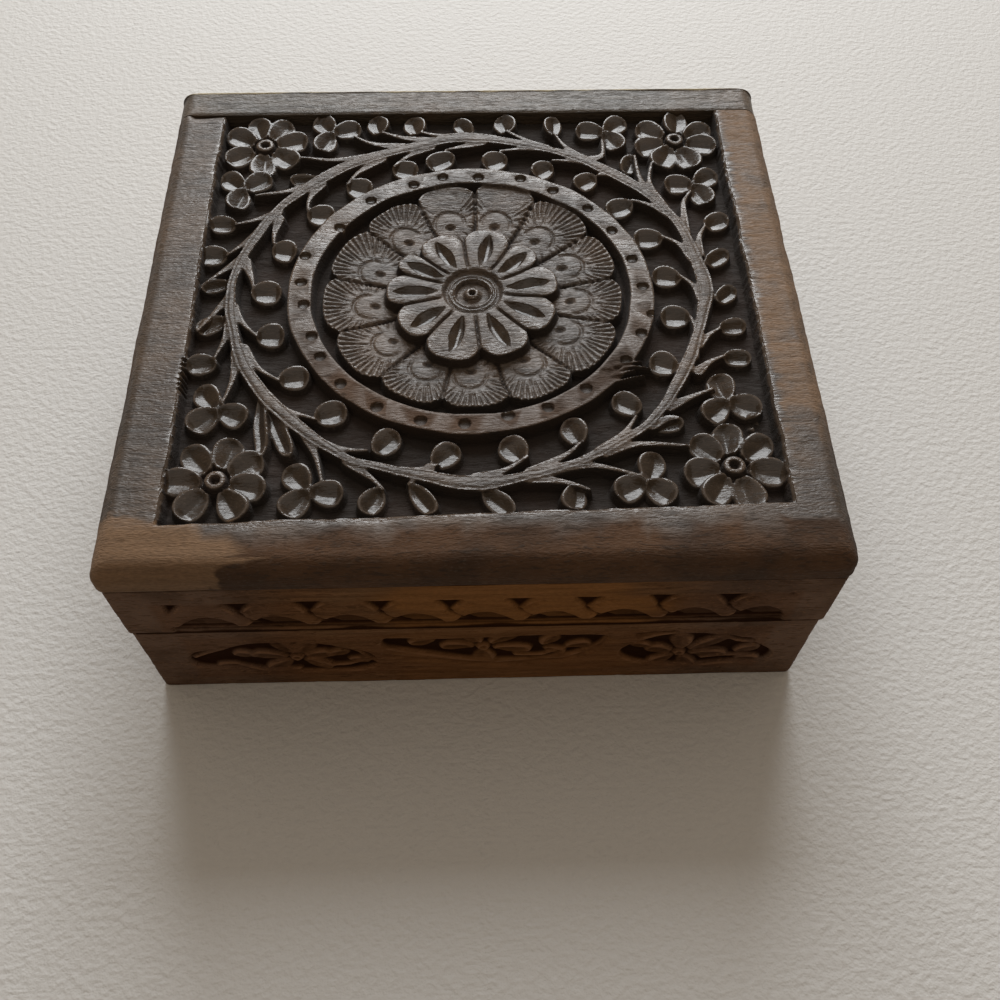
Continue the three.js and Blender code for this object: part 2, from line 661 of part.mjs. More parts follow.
// The carved field's outline, a little skewed at the front as it was cut by hand
function fieldOutline() {
  const left = borderLeft - boxWidth / 2;
  const right = boxWidth / 2 - borderRight;
  return [
    new THREE.Vector2(left, borderFrontLeft - boxDepth / 2),
    new THREE.Vector2(right, borderFrontRight - boxDepth / 2),
    new THREE.Vector2(right, seamY + overrun),
    new THREE.Vector2(left, seamY + overrun),
  ];
}

function lidPanel() {
  const panelSide = block(
    boxWidth + overrun, boxDepth, boxHeight + overrun, 0, seamY - stripSeam - boxDepth / 2, 0);
  const field = moved(extruded(fieldOutline(), fieldDepth + overrun), 0, 0, fieldFloor);
  const reliefBounds = moved(
    extruded(fieldOutline(), fieldDepth + root), 0, 0, fieldFloor - root);
  const relief = moved(topRelief(), 0, 0, fieldFloor).intersect(reliefBounds);
  return topBoard().subtract(field).add(relief).intersect(panelSide);
}

function lidBackStrip() {
  return topBoard().intersect(block(
    boxWidth + overrun, boxDepth, boxHeight + overrun, 0, seamY + boxDepth / 2, 0));
}

// A front or back wall in plan, its outer face on y = 0, rebated for the side walls
function longWall(width, thickness, low, high) {
  const seat = thickness - cornerRebate;
  const inner = width / 2 - thickness;
  const outline = [
    ...arcPoints(wallCornerRound - width / 2, wallCornerRound, wallCornerRound, Math.PI,
      cornerSteps),
    ...arcPoints(width / 2 - wallCornerRound, wallCornerRound, wallCornerRound, Math.PI * 1.5,
      cornerSteps),
    new THREE.Vector2(width / 2, seat),
    new THREE.Vector2(inner, seat),
    new THREE.Vector2(inner, thickness),
    new THREE.Vector2(-inner, thickness),
    new THREE.Vector2(-inner, seat),
    new THREE.Vector2(-width / 2, seat),
  ];
  return moved(extruded(outline, high - low), 0, 0, low);
}

// A side wall, its outer face on y = 0, running between the rebates of the long walls
function sideWall(depth, thickness, low, high) {
  const length = depth - 2 * (thickness - cornerRebate + glueGap);
  return block(length, thickness - glueGap, high - low, 0, (thickness - glueGap) / 2, low);
}

// Stands flat relief or a flat cutter upright on the wall face at y = 0
function upright(body) {
  return turnedAbout(body, 'x', Math.PI / 2);
}

// Pockets that leave a wavy ribbon of arches standing along a lid rail
const notchReach = Math.PI * 0.82;
function ribbonPockets(length) {
  const left = ribbonMarginLeft - length / 2;
  const period = (length - ribbonMarginLeft - ribbonMarginRight) / ribbonArches;
  const high = ribbonBandLow + ribbonBandHeight;
  const pocket = (middle, edge, notch) => {
    const points = [];
    for (let k = 0; k <= notchSteps; k++) {
      const phase = THREE.MathUtils.lerp(-notchReach, notchReach, k / notchSteps);
      const reach = (notch * (1 + Math.cos(phase))) / 2;
      points.push(new THREE.Vector2(middle + (phase * period) / (2 * Math.PI), edge + reach));
    }
    points.push(new THREE.Vector2(points[notchSteps].x, edge));
    points.push(new THREE.Vector2(points[0].x, edge));
    return moved(extruded(points, ribbonDepth + overrun), 0, 0, -ribbonDepth);
  };
  const pockets = [];
  for (let k = 0; k < ribbonArches; k++) {
    pockets.push(pocket(left + period * (k + 1 / 2), ribbonBandLow, ribbonLowNotch));
    if (k > 0) {
      pockets.push(pocket(left + period * k, high, -ribbonTopNotch));
    }
  }
  return upright(joined(pockets));
}

// The places on a base wall are counted in shares of its length and its height
const wallAlongShares = 147.5;
const wallUpShares = 28.6;

// Long hollows of the flower band: places and widths
const bandHollowShares = [
  [[-60, 13.8, 9], [-51, 15.1, 13], [-41, 14.3, 16], [-31, 12.7, 13], [-25.5, 10.9, 6]],
  [[-19, 20.1, 5], [-9, 18.3, 8], [1, 16.6, 12], [12, 16.5, 13], [22, 18.6, 9], [27.5, 21.2, 3]],
  [[35, 13.3, 7], [41, 14, 15], [49, 14.4, 17], [56, 13.2, 13], [62.5, 10.6, 8]],
];

// Stems of the flower band
const bandStemShares = [
  [[-63, 14.5], [-57, 18], [-52, 20.6], [-46, 21.7], [-40, 21.9], [-34, 20.4], [-29, 18.1],
    [-25.5, 13.4], [-23, 10.3]],
  [[-21, 15.6], [-13, 13.3], [0, 10.2], [10, 9.9], [19, 11.3], [24.4, 14.6], [27.6, 18.7],
    [28.6, 22.3]],
  [[33, 16.4], [37, 19.9], [42, 21.8], [48, 22.3], [53, 21.1], [57, 17.8], [61, 16.4]],
];

// Flowers of the band: the middle, then the way each petal points in degrees
const bandFlowerShares = [
  [-40.8, 13.6, 113, 66, 15, -37, 226, 173], [0.8, 17.4, 118, 44, -12, -88, 178],
  [45.3, 12, 93, 38, -10, -67, 223, 160],
];

// Leaves of the band: the middle and the way the tip points in degrees
const bandLeafShares = [
  [-60, 20.3, 150], [-56.5, 9.5, 190], [-27, 11.5, -20], [-12.5, 20.2, 200], [15.5, 19.8, 60],
  [22, 17.1, 20], [17, 14.3, -30], [32, 20.5, 60], [60.5, 13, 20], [61.5, 7.9, -10],
  [-52, 15.5, 160], [-31.6, 15.3, 30], [36.4, 15.7, 160],
];

// The outline of a hollow along a line, with a point beyond each end
const hollowTipShare = 0.4;
function hollowOutline(line, widths) {
  const curve = new THREE.SplineCurve(line);
  const sides = line.map((at, k) => {
    const ahead = curve.getTangent(k / (line.length - 1));
    const reach = new THREE.Vector2(-ahead.y, ahead.x).multiplyScalar(widths[k] / 2);
    return { left: at.clone().add(reach), right: at.clone().sub(reach) };
  });
  const last = line.length - 1;
  const start = line[0].clone().addScaledVector(curve.getTangent(0), -hollowTipShare * widths[0]);
  const end = line[last].clone().addScaledVector(curve.getTangent(1), hollowTipShare * widths[last]);
  return [
    start, ...sides.map(({ right }) => right), end, ...sides.map(({ left }) => left).reverse()];
}

// The hollows sunk in a base wall, and the stems, flowers and leaves that stand in them
function flowerBand(length) {
  const spot = (along, up) => new THREE.Vector2(
    (along * length) / wallAlongShares, (up * baseRim) / wallUpShares);
  const hollows = bandHollowShares.map((rows) => {
    const line = rows.map(([along, up]) => spot(along, up));
    const widths = rows.map(([, , width]) => spot(0, width).y);
    return moved(extruded(hollowOutline(line, widths), flowerBandDepth + overrun),
      0, 0, -flowerBandDepth);
  });
  const bodies = bandStemShares.map((rows) => stem(
    new THREE.SplineCurve(rows.map(([along, up]) => spot(along, up))),
    bandStemSteps, bandStemWidth, bandStemWidth, bandStemHeight));
  const button = turned([
    [0, -root], [bandButtonRadius, -root], [bandButtonRadius, bandPetalHeight], [0, bandPetalHeight],
  ], bandPetalSides);
  for (const [along, up, ...ways] of bandFlowerShares) {
    const middle = spot(along, up);
    bodies.push(...petalsRound(middle, ways, bandFlowerRadius, bandPetalLength, bandPetalWidth,
      bandPetalHeight, bandPetalGouge, bandPetalSides));
    bodies.push(moved(button, middle.x, middle.y, 0));
  }
  for (const [along, up, degrees] of bandLeafShares) {
    bodies.push(petal(spot(along, up), THREE.MathUtils.degToRad(degrees),
      bandLeafLength, bandLeafWidth, bandPetalHeight, bandPetalGouge, bandPetalSides));
  }
  return {
    hollows: upright(joined(hollows)),
    relief: upright(moved(joined(bodies), 0, 0, -flowerBandDepth)),
  };
}

// The bevel along a back edge at the parting line, which stops the lid when it leans back
function stopBevel(width, upwards) {
  const reach = hingeSetIn + baseSetIn + overrun;
  const rise = reach * Math.tan(THREE.MathUtils.degToRad(hingeStopAngle / 2));
  const side = upwards ? 1 : -1;
  const triangle = [
    new THREE.Vector2(0, 0),
    new THREE.Vector2(reach, 0),
    new THREE.Vector2(reach, side * rise),
  ];
  const ordered = upwards ? triangle : triangle.reverse();
  const wedge = extruded(ordered, width + overrun);
  const along = wedge.transform(new THREE.Matrix4().makeBasis(
    new THREE.Vector3(0, 1, 0), new THREE.Vector3(0, 0, 1), new THREE.Vector3(1, 0, 0)).elements);
  return moved(along, -(width + overrun) / 2, hingeY, partingHeight);
}

// A round rod along X through the hinge line
function rodAlong(radius, length, x, sides) {
  const rod = turnedAbout(solid(new THREE.CylinderGeometry(radius, radius, length, sides)),
    'z', Math.PI / 2);
  return moved(rod, x, 0, 0);
}

const screwPlaces = [-1, 1].map((side) => (side * screwSpacing) / 2);
const screwY = screwInset - leafPlateDepth;

// A countersunk screw, or the hole for one where a clearance is given; its head faces up
function screwForm(clearance) {
  const rim = clearance > 0 ? [[screwHeadRadius + clearance, clearance]] : [];
  return turned([
    [0, -screwLength - clearance],
    [screwShankRadius + clearance, -screwLength + screwShankRadius],
    [screwShankRadius + clearance, -screwHeadDepth],
    [screwHeadRadius + clearance, 0],
    ...rim,
    [0, clearance],
  ], screwSides);
}

// One leaf: a plate in the rim, joined to its knuckles and drilled for the pin and screws.
// It is drawn as the lower leaf about the hinge line, and mirrored for the upper one.
function hingeLeaf(lower) {
  const knuckleLength = hingeLength / knuckleCount;
  const plateTop = -partingGap / 2;
  const plate = block(hingeLength, leafPlateDepth, leafPlateThickness,
    0, -leafPlateDepth / 2, plateTop - leafPlateThickness);
  let body = plate;
  const clearances = [];
  for (let k = 0; k < knuckleCount; k++) {
    const x = knuckleLength * (k - (knuckleCount - 1) / 2);
    const own = (k % 2 === 0) === lower;
    if (own) {
      body = body.add(rodAlong(knuckleRadius, knuckleLength - knuckleGap, x, hingeSides));
    } else {
      clearances.push(rodAlong(
        knuckleRadius + hingeClearance, knuckleLength + knuckleGap, x, hingeSides));
    }
  }
  const bore = rodAlong(pinRadius + pinClearance, hingeLength + overrun, 0, hingeSides);
  const holes = screwPlaces.map((x) => moved(screwForm(screwClearance), x, screwY, plateTop));
  return body.subtract(joined([...clearances, bore, ...holes]));
}

// What a rim is cut away by for one leaf, with the screw holes below it
function leafGain() {
  const plateTop = -partingGap / 2;
  const plateLow = plateTop - leafPlateThickness;
  const seat = block(
    hingeLength + 2 * hingeClearance, leafPlateDepth + hingeClearance + overrun,
    leafPlateThickness + glueGap + overrun, 0,
    (overrun - leafPlateDepth - hingeClearance) / 2, plateLow - glueGap);
  const barrel = rodAlong(
    knuckleRadius + hingeClearance, hingeLength + 2 * hingeClearance, 0, hingeSides);
  const holes = screwPlaces.map((x) => moved(screwForm(screwClearance), x, screwY, plateTop));
  return joined([seat, barrel, ...holes]);
}

const hingePlaces = [-1, 1].map((side) => (side * hingeSpacing) / 2);

// The lower gains stand in the base's rim; mirrored over the hinge line they suit the lid
function hingeGains(lower) {
  const gain = lower ? leafGain() : mirroredUp(leafGain());
  return joined(hingePlaces.map((x) => moved(gain, x, hingeY, partingHeight)));
}

// Materials
const woods = {
  top: { color: 0x57463c, roughness: 0.55 },
  strip: { color: 0x5e4b3e, roughness: 0.6 },
  rail: { color: 0x6b4a30, roughness: 0.65 },
  wall: { color: 0x5a3d2a, roughness: 0.65 },
  board: { color: 0x7a5a3c, roughness: 0.75 },
};
const metals = {
  leaf: { color: 0xa8853f, roughness: 0.4 },
  pin: { color: 0x9c8a5c, roughness: 0.35 },
  screw: { color: 0xb08d48, roughness: 0.35 },
};

function addPiece(group, name, body, look, metalness = 0) {
  const material = new THREE.MeshStandardMaterial({ ...look, metalness });
  const mesh = new THREE.Mesh(geometryOf(body), material);
  mesh.name = name;
  group.add(mesh);
  return mesh;
}

const box = new THREE.Group();
const base = new THREE.Group();
const lid = new THREE.Group();
box.add(base, lid);

// Lid: carved panel and back strip on four rails
addPiece(lid, 'lid_panel', lidPanel(), woods.top);
addPiece(lid, 'lid_back_strip', lidBackStrip(), woods.strip);

const railAngles = { front: 0, right: Math.PI / 2, back: Math.PI, left: -Math.PI / 2 };
function lidRail(side) {
  const isLong = side === 'front' || side === 'back';
  const length = isLong ? railWidth : railDepth;
  const reach = isLong ? railDepth / 2 : railWidth / 2;
  const make = isLong ? longWall : sideWall;
  let body = make(length, railThickness, lidRim, railTop);
  if (side !== 'back') {
    body = body.subtract(ribbonPockets(length));
  }
  return turnedAbout(moved(body, 0, -reach, 0), 'z', railAngles[side]);
}

// The space that the bottom board takes in the walls' lower inner edges
function boardSpace() {
  const top = boardRaise + boardThickness + glueGap;
  return block(cavityWidth + 2 * boardRebate, cavityDepth + 2 * boardRebate, top + overrun,
    0, 0, -overrun);
}

function baseWall(side) {
  const isLong = side === 'front' || side === 'back';
  const length = isLong ? baseWidth : baseDepth;
  const reach = isLong ? baseDepth / 2 : baseWidth / 2;
  const make = isLong ? longWall : sideWall;
  let body = make(length, wallThickness, 0, baseRim);
  if (side !== 'back') {
    const { hollows, relief } = flowerBand(length);
    body = body.subtract(hollows).add(relief);
  }
  return turnedAbout(moved(body, 0, -reach, 0), 'z', railAngles[side]).subtract(boardSpace());
}

for (const side of ['front', 'back', 'left', 'right']) {
  const rail = lidRail(side);
  const wall = baseWall(side);
  if (side === 'back') {
    addPiece(lid, 'lid_back_rail',
      rail.subtract(stopBevel(railWidth, true)).subtract(hingeGains(false)), woods.rail);
    addPiece(base, 'base_back_wall',
      wall.subtract(stopBevel(baseWidth, false)).subtract(hingeGains(true)), woods.wall);
  } else {
    addPiece(lid, `lid_${side}_rail`, rail, woods.rail);
    addPiece(base, `base_${side}_wall`, wall, woods.wall);
  }
}

// Bottom board
addPiece(base, 'bottom_board', block(
  cavityWidth + 2 * (boardRebate - boardClearance), cavityDepth + 2 * (boardRebate - boardClearance),
  boardThickness, 0, 0, boardRaise), woods.board);

// Hinges: each is a group on the hinge line, with its leaves, pin and screws
const hingeNames = ['left', 'right'];
hingePlaces.forEach((x, index) => {
  const hinge = new THREE.Group();
  hinge.position.set(x, hingeY, partingHeight);
  box.add(hinge);
  const name = hingeNames[index];
  addPiece(hinge, `hinge_${name}_lower_leaf`, hingeLeaf(true), metals.leaf, 1);
  addPiece(hinge, `hinge_${name}_upper_leaf`, mirroredUp(hingeLeaf(false)), metals.leaf, 1);
  addPiece(hinge, `hinge_${name}_pin`, rodAlong(pinRadius, hingeLength, 0, hingeSides),
    metals.pin, 1);
  const slot = block(2 * screwHeadRadius + overrun, screwSlotWidth, screwSlotDepth + overrun,
    0, 0, -screwSlotDepth);
  const screw = screwForm(0).subtract(slot);
  screwPlaces.forEach((offset, place) => {
    const low = addPiece(hinge, `hinge_${name}_lower_screw_${place + 1}`, screw, metals.screw, 1);
    low.position.set(offset, screwY, -partingGap / 2);
    const high = addPiece(hinge, `hinge_${name}_upper_screw_${place + 1}`, mirroredUp(screw),
      metals.screw, 1);
    high.position.set(offset, screwY, partingGap / 2);
  });
});

export default box;
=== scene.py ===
"""Carved trinket box: carved surfaces, wood, brass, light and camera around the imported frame."""

import math

import bmesh
import bpy
import numpy as np
from mathutils import Matrix, Vector


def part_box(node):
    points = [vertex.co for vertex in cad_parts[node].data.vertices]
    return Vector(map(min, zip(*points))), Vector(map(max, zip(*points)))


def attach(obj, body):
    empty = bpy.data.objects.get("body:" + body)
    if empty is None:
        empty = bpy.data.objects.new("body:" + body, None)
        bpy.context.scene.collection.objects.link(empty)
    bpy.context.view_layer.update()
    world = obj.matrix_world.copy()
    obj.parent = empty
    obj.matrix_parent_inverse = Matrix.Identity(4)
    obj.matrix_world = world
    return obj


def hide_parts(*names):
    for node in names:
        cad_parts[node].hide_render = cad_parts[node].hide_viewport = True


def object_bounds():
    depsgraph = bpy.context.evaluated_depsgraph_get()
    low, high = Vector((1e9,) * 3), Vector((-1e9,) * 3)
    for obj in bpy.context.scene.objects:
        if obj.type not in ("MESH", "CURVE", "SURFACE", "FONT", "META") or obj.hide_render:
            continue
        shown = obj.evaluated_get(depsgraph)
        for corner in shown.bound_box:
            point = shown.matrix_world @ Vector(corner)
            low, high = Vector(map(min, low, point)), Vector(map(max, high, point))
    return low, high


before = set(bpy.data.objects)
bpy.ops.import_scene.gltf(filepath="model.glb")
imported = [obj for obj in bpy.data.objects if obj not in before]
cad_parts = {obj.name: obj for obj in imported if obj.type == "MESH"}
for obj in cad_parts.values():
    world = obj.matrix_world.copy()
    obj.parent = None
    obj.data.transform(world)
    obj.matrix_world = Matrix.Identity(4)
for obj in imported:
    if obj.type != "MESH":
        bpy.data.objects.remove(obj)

bl_info = {
    "name": "Carved trinket box",
    "version": (1, 0, 0),
    "blender": (4, 5, 0),
    "location": "View3D > Sidebar > Trinket Box",
    "description": "Builds the carved surfaces, finishes, light and camera of a hardwood trinket box",
    "category": "Object",
}

MM = 0.001
packed_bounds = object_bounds()

# A distance in millimetres that no cut of a carved surface reaches
FAR = 9.0
TOP_STEP, STRIP_STEP, SIDE_STEP = (0.2, 0.5), (0.4, 1.0), (0.35, 0.7)
# The most triangles that the lid's two boards keep
MOST_IN_TOP, MOST_IN_STRIP = 194000, 60000
# Edges that turn by more than this many degrees are shaded as sharp ones
SHARP_ON_LID, SHARP_ON_SIDES = 52, 66
# Radius in plan of the corners of the lid's boards, as a share of the round of their edges
CORNER_SHARE = 0.55
# Lengths in millimetres. How far the highest points of the lid's boards stay under the box's height
TOP_GAP, STRIP_GAP = 0.03, 0.2
# How far the sides of the lid and the base stand back, and the room between the long and the short ones
LID_ROOM, BASE_ROOM, LAP_ROOM = 0.75, 1.25, 0.1
# How much thinner the base's walls are than the lid's rails, and how much the board's rebate leaves off
THINNER, REBATE = 0.5, 3.5
# Radius of the corners of the short sides, and of the feet of the front wall
SHORT_SIDE_CORNER, FOOT_ROUND = 0.3, 2.4
# Where the bands of the lid and the base are stained: from and up to which height, and how far from
# the middle on the front and on the short sides
LID_STAIN, BASE_STAIN = (30.0, 42.4, 66.0, 62.5), (4.5, 25.5, 64.0, 60.5)
# The carved sides of the lid and the base: place, quarter turns from the front, the seed of the
# carving and the two seeds of the wear
LID_SIDES = (("front", 0, 51, (10, 14)), ("right", 1, 61, (10, 14)), ("left", -1, 71, (9, 13)))
BASE_SIDES = (("front", 0, 81, (10, 15)), ("right", 1, 91, (10, 15)), ("left", -1, 101, (9, 14)))
# Points of a mesh that are nearer than this are one point, in metres
SAME_PLACE = 2e-6
# Half the size of the floor, in millimetres, the light from all round and the width of the camera's film
FLOOR_REACH = 3000
SKY_TINT = (1.0, 0.72, 0.42, 1.0)
FILM = 36

# Layout of the carved field, in millimetres from the middle of the box.
# The closed vine: points of its middle line and its width there, anticlockwise from the right
VINE = (
    (53.0, 0, 3.7), (52.8, 5, 3.7), (52, 10, 3.1), (51, 15, 2.8), (49.8, 20, 2.6), (48, 24, 2.5),
    (45.5, 28.5, 2.4), (42, 33, 2.7), (38, 37, 3.2), (33, 41, 3.2), (28, 44.4, 2.6), (22, 47.4, 2.3),
    (15, 50, 2.6), (8, 52, 3.1), (3, 53, 3.6), (-3, 53, 3.5), (-9, 51.8, 3.3), (-15, 49.8, 3.1),
    (-22, 47.3, 3.1), (-28, 44.5, 3.3), (-34, 40.7, 3.5), (-39, 36.3, 3.0), (-43.5, 31.5, 2.6),
    (-47.3, 26, 2.4), (-50.2, 20, 2.6), (-53, 12.5, 2.5), (-54.5, 5, 2.1), (-54.3, -2, 2.5),
    (-53.3, -8, 2.3), (-51.6, -14, 2.5), (-49.3, -20, 2.9), (-45.2, -27, 3.1), (-40.5, -32.6, 3.1),
    (-35.5, -37.6, 2.9), (-30, -42, 2.4), (-25, -45, 1.9), (-18, -47.3, 2.3), (-9, -49.6, 3.1),
    (0, -51.2, 3.7), (6, -50.6, 2.9), (12, -49.2, 2.3), (19, -47, 2.1), (25, -44.3, 2.3),
    (30.5, -41, 2.1), (35.3, -37.8, 2.0), (38.7, -34, 2.2), (41.7, -29.5, 2.6), (44.8, -24.3, 2.9),
    (47.5, -18.5, 2.9), (49.8, -12, 2.5), (51.8, -5.5, 3.1),
)
# Thin stems that leave the vine: three points each
STEMS = (
    (-52, 11, -50.6, 6, -50, 3), (-45.6, 25, -46.5, 20, -46.3, 17), (-36.5, 37, -39, 32, -39.3, 28),
    (-22, 46, -27.5, 41, -30.2, 36.8), (-10, 50, -15.6, 46.6, -19, 43), (3, 51.6, -2, 50, -6.3, 48.6),
    (24, 47.2, 15, 48.9, 7.6, 48.2), (33, 41.5, 26, 44.3, 20.6, 44.4), (41, 34, 36, 38, 31.6, 39.3),
    (49, 22.8, 44, 27.8, 39, 30), (51.6, 9.5, 48.6, 15, 45.2, 17.4), (52, -3, 50.4, 2, 47.8, 5),
    (47.8, -19, 49.2, -13, 48.7, -7.6), (43.3, -26.8, 44, -24.8, 43.9, -23.2),
    (25.5, -43.8, 31, -39.2, 34, -34.8), (11, -48.8, 17.5, -45, 21.4, -41.6),
    (0, -49.9, 6, -47.9, 10.6, -45), (-16, -48, -11, -47.5, -7.8, -46.4),
    (-32.5, -40.4, -28, -41.9, -22.3, -42.6), (-44, -28, -39.5, -32, -33.6, -34.4),
    (-50, -15, -46.4, -20.2, -42, -23.9), (-53.6, -3, -51.4, -7.2, -47.6, -11.4),
    (-46, 27.4, -51, 24.8, -55.6, 23.3), (-49, 23, -53, 17.3, -56.8, 13.3),
    (-53.4, 12, -57.2, 8.2, -60.3, 5), (-54.7, 0, -57.3, -4, -60.6, -9.8),
    (-54, -8, -54.6, -13, -56, -17.4), (-51.4, -16, -51.6, -24, -53.2, -29.6),
    (-35, -38.6, -32.6, -44, -31, -50.2), (-26, -45, -22, -48.6, -18.6, -52.2),
    (-9.5, -47.2, -11.6, -49.3, -13.4, -51.2), (10, -50, 17, -50.9, 22.8, -53),
    (15.5, -48.3, 24, -47.2, 33.4, -49.8), (26.5, -44, 34, -41.9, 43.4, -42.7),
    (41, -32.6, 46, -30.2, 51, -28), (37, -37.2, 40, -36, 42.4, -35.6),
    (48.6, -23, 51.2, -20.6, 54.8, -18.8), (49.4, -15.8, 52, -13, 54.9, -10.9),
    (53, 12, 53.6, 17.4, 55.4, 21), (50.6, 19, 51.2, 28, 53.6, 33.2), (46.6, 27.4, 44, 36, 45.2, 43.2),
    (44.6, 30.4, 41.6, 38, 41.2, 46.2), (29.4, 44.6, 33, 46.5, 33.4, 52), (29, 44.6, 24, 49.4, 21.4, 54.6),
    (19, 49.2, 14, 52.4, 9.6, 56), (-1, 54.2, -7, 54.2, -12.4, 55.7), (-10, 52.6, -17, 53.6, -22, 55.7),
    (-17, 50.4, -24.4, 51.4, -29, 54.2), (-24, 47, -34, 45.6, -42.2, 46.6),
    (-38.6, 36.6, -45.5, 34.4, -52, 33.2),
)
# Leaves: middle, the way the tip points in degrees, length and width
LEAVES = (
    (-46.8, 1.8, 5, 7.2, 6.6), (-43.6, 14.9, -12, 6, 6.2), (-36, 26.6, -6, 7, 6.4),
    (-27.2, 35.6, -20, 6.6, 6.4), (-16.2, 42, -16, 6.6, 6), (-7.3, 45.2, 208, 7.6, 5.8),
    (6, 45, 205, 6.6, 6.2), (18, 41.6, 215, 6, 5.6), (28.2, 37.3, 215, 6.6, 5.4),
    (35.9, 27.9, 203, 7, 6), (41.7, 17.3, 178, 6.8, 5.6), (44.8, 5, 168, 6.6, 5.6),
    (45.3, -7, 176, 6.8, 5.8), (41.3, -20.6, 158, 6.6, 6.2), (32.4, -31.4, 152, 6.6, 5.6),
    (20.7, -38.4, 112, 6.4, 5.8), (8, -42.8, 130, 6.6, 6), (-6.2, -43.9, 38, 7, 5.8),
    (-18.5, -40.4, 46, 7, 6), (-30.3, -32.6, 18, 7.2, 6), (-38.7, -23.1, 9, 6.6, 5.8),
    (-44.6, -11, 0, 6.4, 6.4), (-58.8, 23.7, 178, 6.4, 5), (-60, 13.6, 180, 6.6, 5.4),
    (-58.4, 4.2, 195, 6.4, 3.2), (-58, -7.6, 212, 7, 4.2), (-58.8, -18.8, 186, 6.6, 5),
    (-20.7, -54.7, 236, 6.4, 5.2), (-10.6, -54.4, -52, 8, 4.2), (4.4, -55.4, -42, 8, 4.6),
    (19.6, -54.6, 258, 6, 5.2), (40.2, -36.8, 8, 6.8, 3.6), (57.5, -19.2, -8, 5.8, 4.2),
    (57.9, -10.2, 2, 6, 4.2), (57.6, -0.6, 40, 6.2, 4.4), (57, 10.9, 36, 7, 4.4),
    (58.5, 22.7, 24, 6.6, 5.2), (39.4, 43.2, 66, 7, 4.6), (21.2, 57.9, 84, 6.8, 4.6),
    (9.2, 58.8, 108, 6.2, 5.8), (-1.4, 57.6, 126, 7, 4.6), (-14, 58.4, 106, 6.2, 5.8),
    (-23.3, 58.8, 104, 6.2, 5.8), (-40.6, 39, 180, 7.2, 3.4), (-44.6, -36, -84, 15, 3.2),
    (-40.6, -37.4, -66, 13, 3.6),
)
# Trefoils: middle, then the way each of the three petals points
TREFOILS = (
    (-34.6, 56.3, 127, 18, 243), (-55, 36.2, 143, 36, 252), (34.2, 55.6, 172, 42, -58),
    (54.7, 35.9, 178, 33, -64), (-54.2, -31, 127, 224, -24), (-33.6, -51.8, 128, -8, 230),
    (53.9, -31, 103, 219, -22), (34.4, -50.8, 68, 206, -40),
)
# Corner flowers: middle, then the way each of the seven petals points
CORNER_FLOWERS = (
    (-51.4, 51.3, 106, 60, 14, -38, 270, 209, 151), (51.9, 52, 82, 147, 196, 241, -68, -13, 28),
    (-52.5, -49.2, 32, 76, 129, 180, 232, 303, -12), (52.8, -47.8, 94, 138, 189, 233, 287, -11, 40),
)
# The central flower's petals: middle and clockwise edge in degrees, and reach
PETALS = (
    (118, 97, 19.0), (76, 57, 19.6), (42, 27, 18.9), (8, -8, 19.6), (-27, -45, 19.8),
    (-65, -85, 20.2), (-106, -128, 20.6), (-143, -165, 19.2), (-180, -199, 19.6), (-211, -223, 19.3),
)
# The rosette's lobes: middle and clockwise edge in degrees, and reach
LOBES = (
    (103, 88, 34.5), (76, 62, 35.4), (48, 33, 34.7), (21, 6.5, 34.0), (-6, -17.5, 34.0),
    (-29, -48, 34.4), (-60, -76, 33.6), (-92, -103, 33.0), (-116, -130, 33.5), (-143, -159, 34.0),
    (-172, -189, 34.0), (-198, -219, 33.5), (-229, -246, 33.3),
)
# The holes punched in the ring
PUNCHES = (
    (-38.5, 12), (-38.8, 3.8), (-37.8, -3), (-35.5, -12.2), (-33.3, -18.3), (-28.3, -25.8),
    (-20.5, -32), (-11.3, -35.7), (-2, -36.8), (7, -34.8), (15.3, -33), (23.7, -28), (33, -20.5),
    (37, -13), (40, -7.3), (38.7, 1), (37, 9.5), (33.2, 19), (28, 26.5), (20, 33), (12.2, 37.2),
    (2, 37.8), (-6.7, 38), (-14, 35.5), (-24, 30), (-31, 21.2),
)

# Splinters where the ring is broken: three points each with a width
SPLINTERS = (
    ((26.8, -26.2, 0.5), (30, -24.4, 0.9), (34.6, -23.2, 0.4)),
    ((29.5, -24.4, 0.4), (33, -22.3, 0.8), (38, -22.6, 0.3)),
    ((31, -21.4, 0.3), (34, -21.2, 0.6), (36.4, -20.6, 0.3)),
    ((28.2, -27, 0.3), (31.5, -25.8, 0.6), (36.5, -24.6, 0.3)),
)

# Layout of the front bands along the wall and up it, in millimetres. The heights stand as they look
# on the bowed front, and straightened takes the bow off
RIBBON_DIPS = (-63.4, -49, -34.7, -20, -6, 8.5, 22.5, 37.5, 52, 66.4)
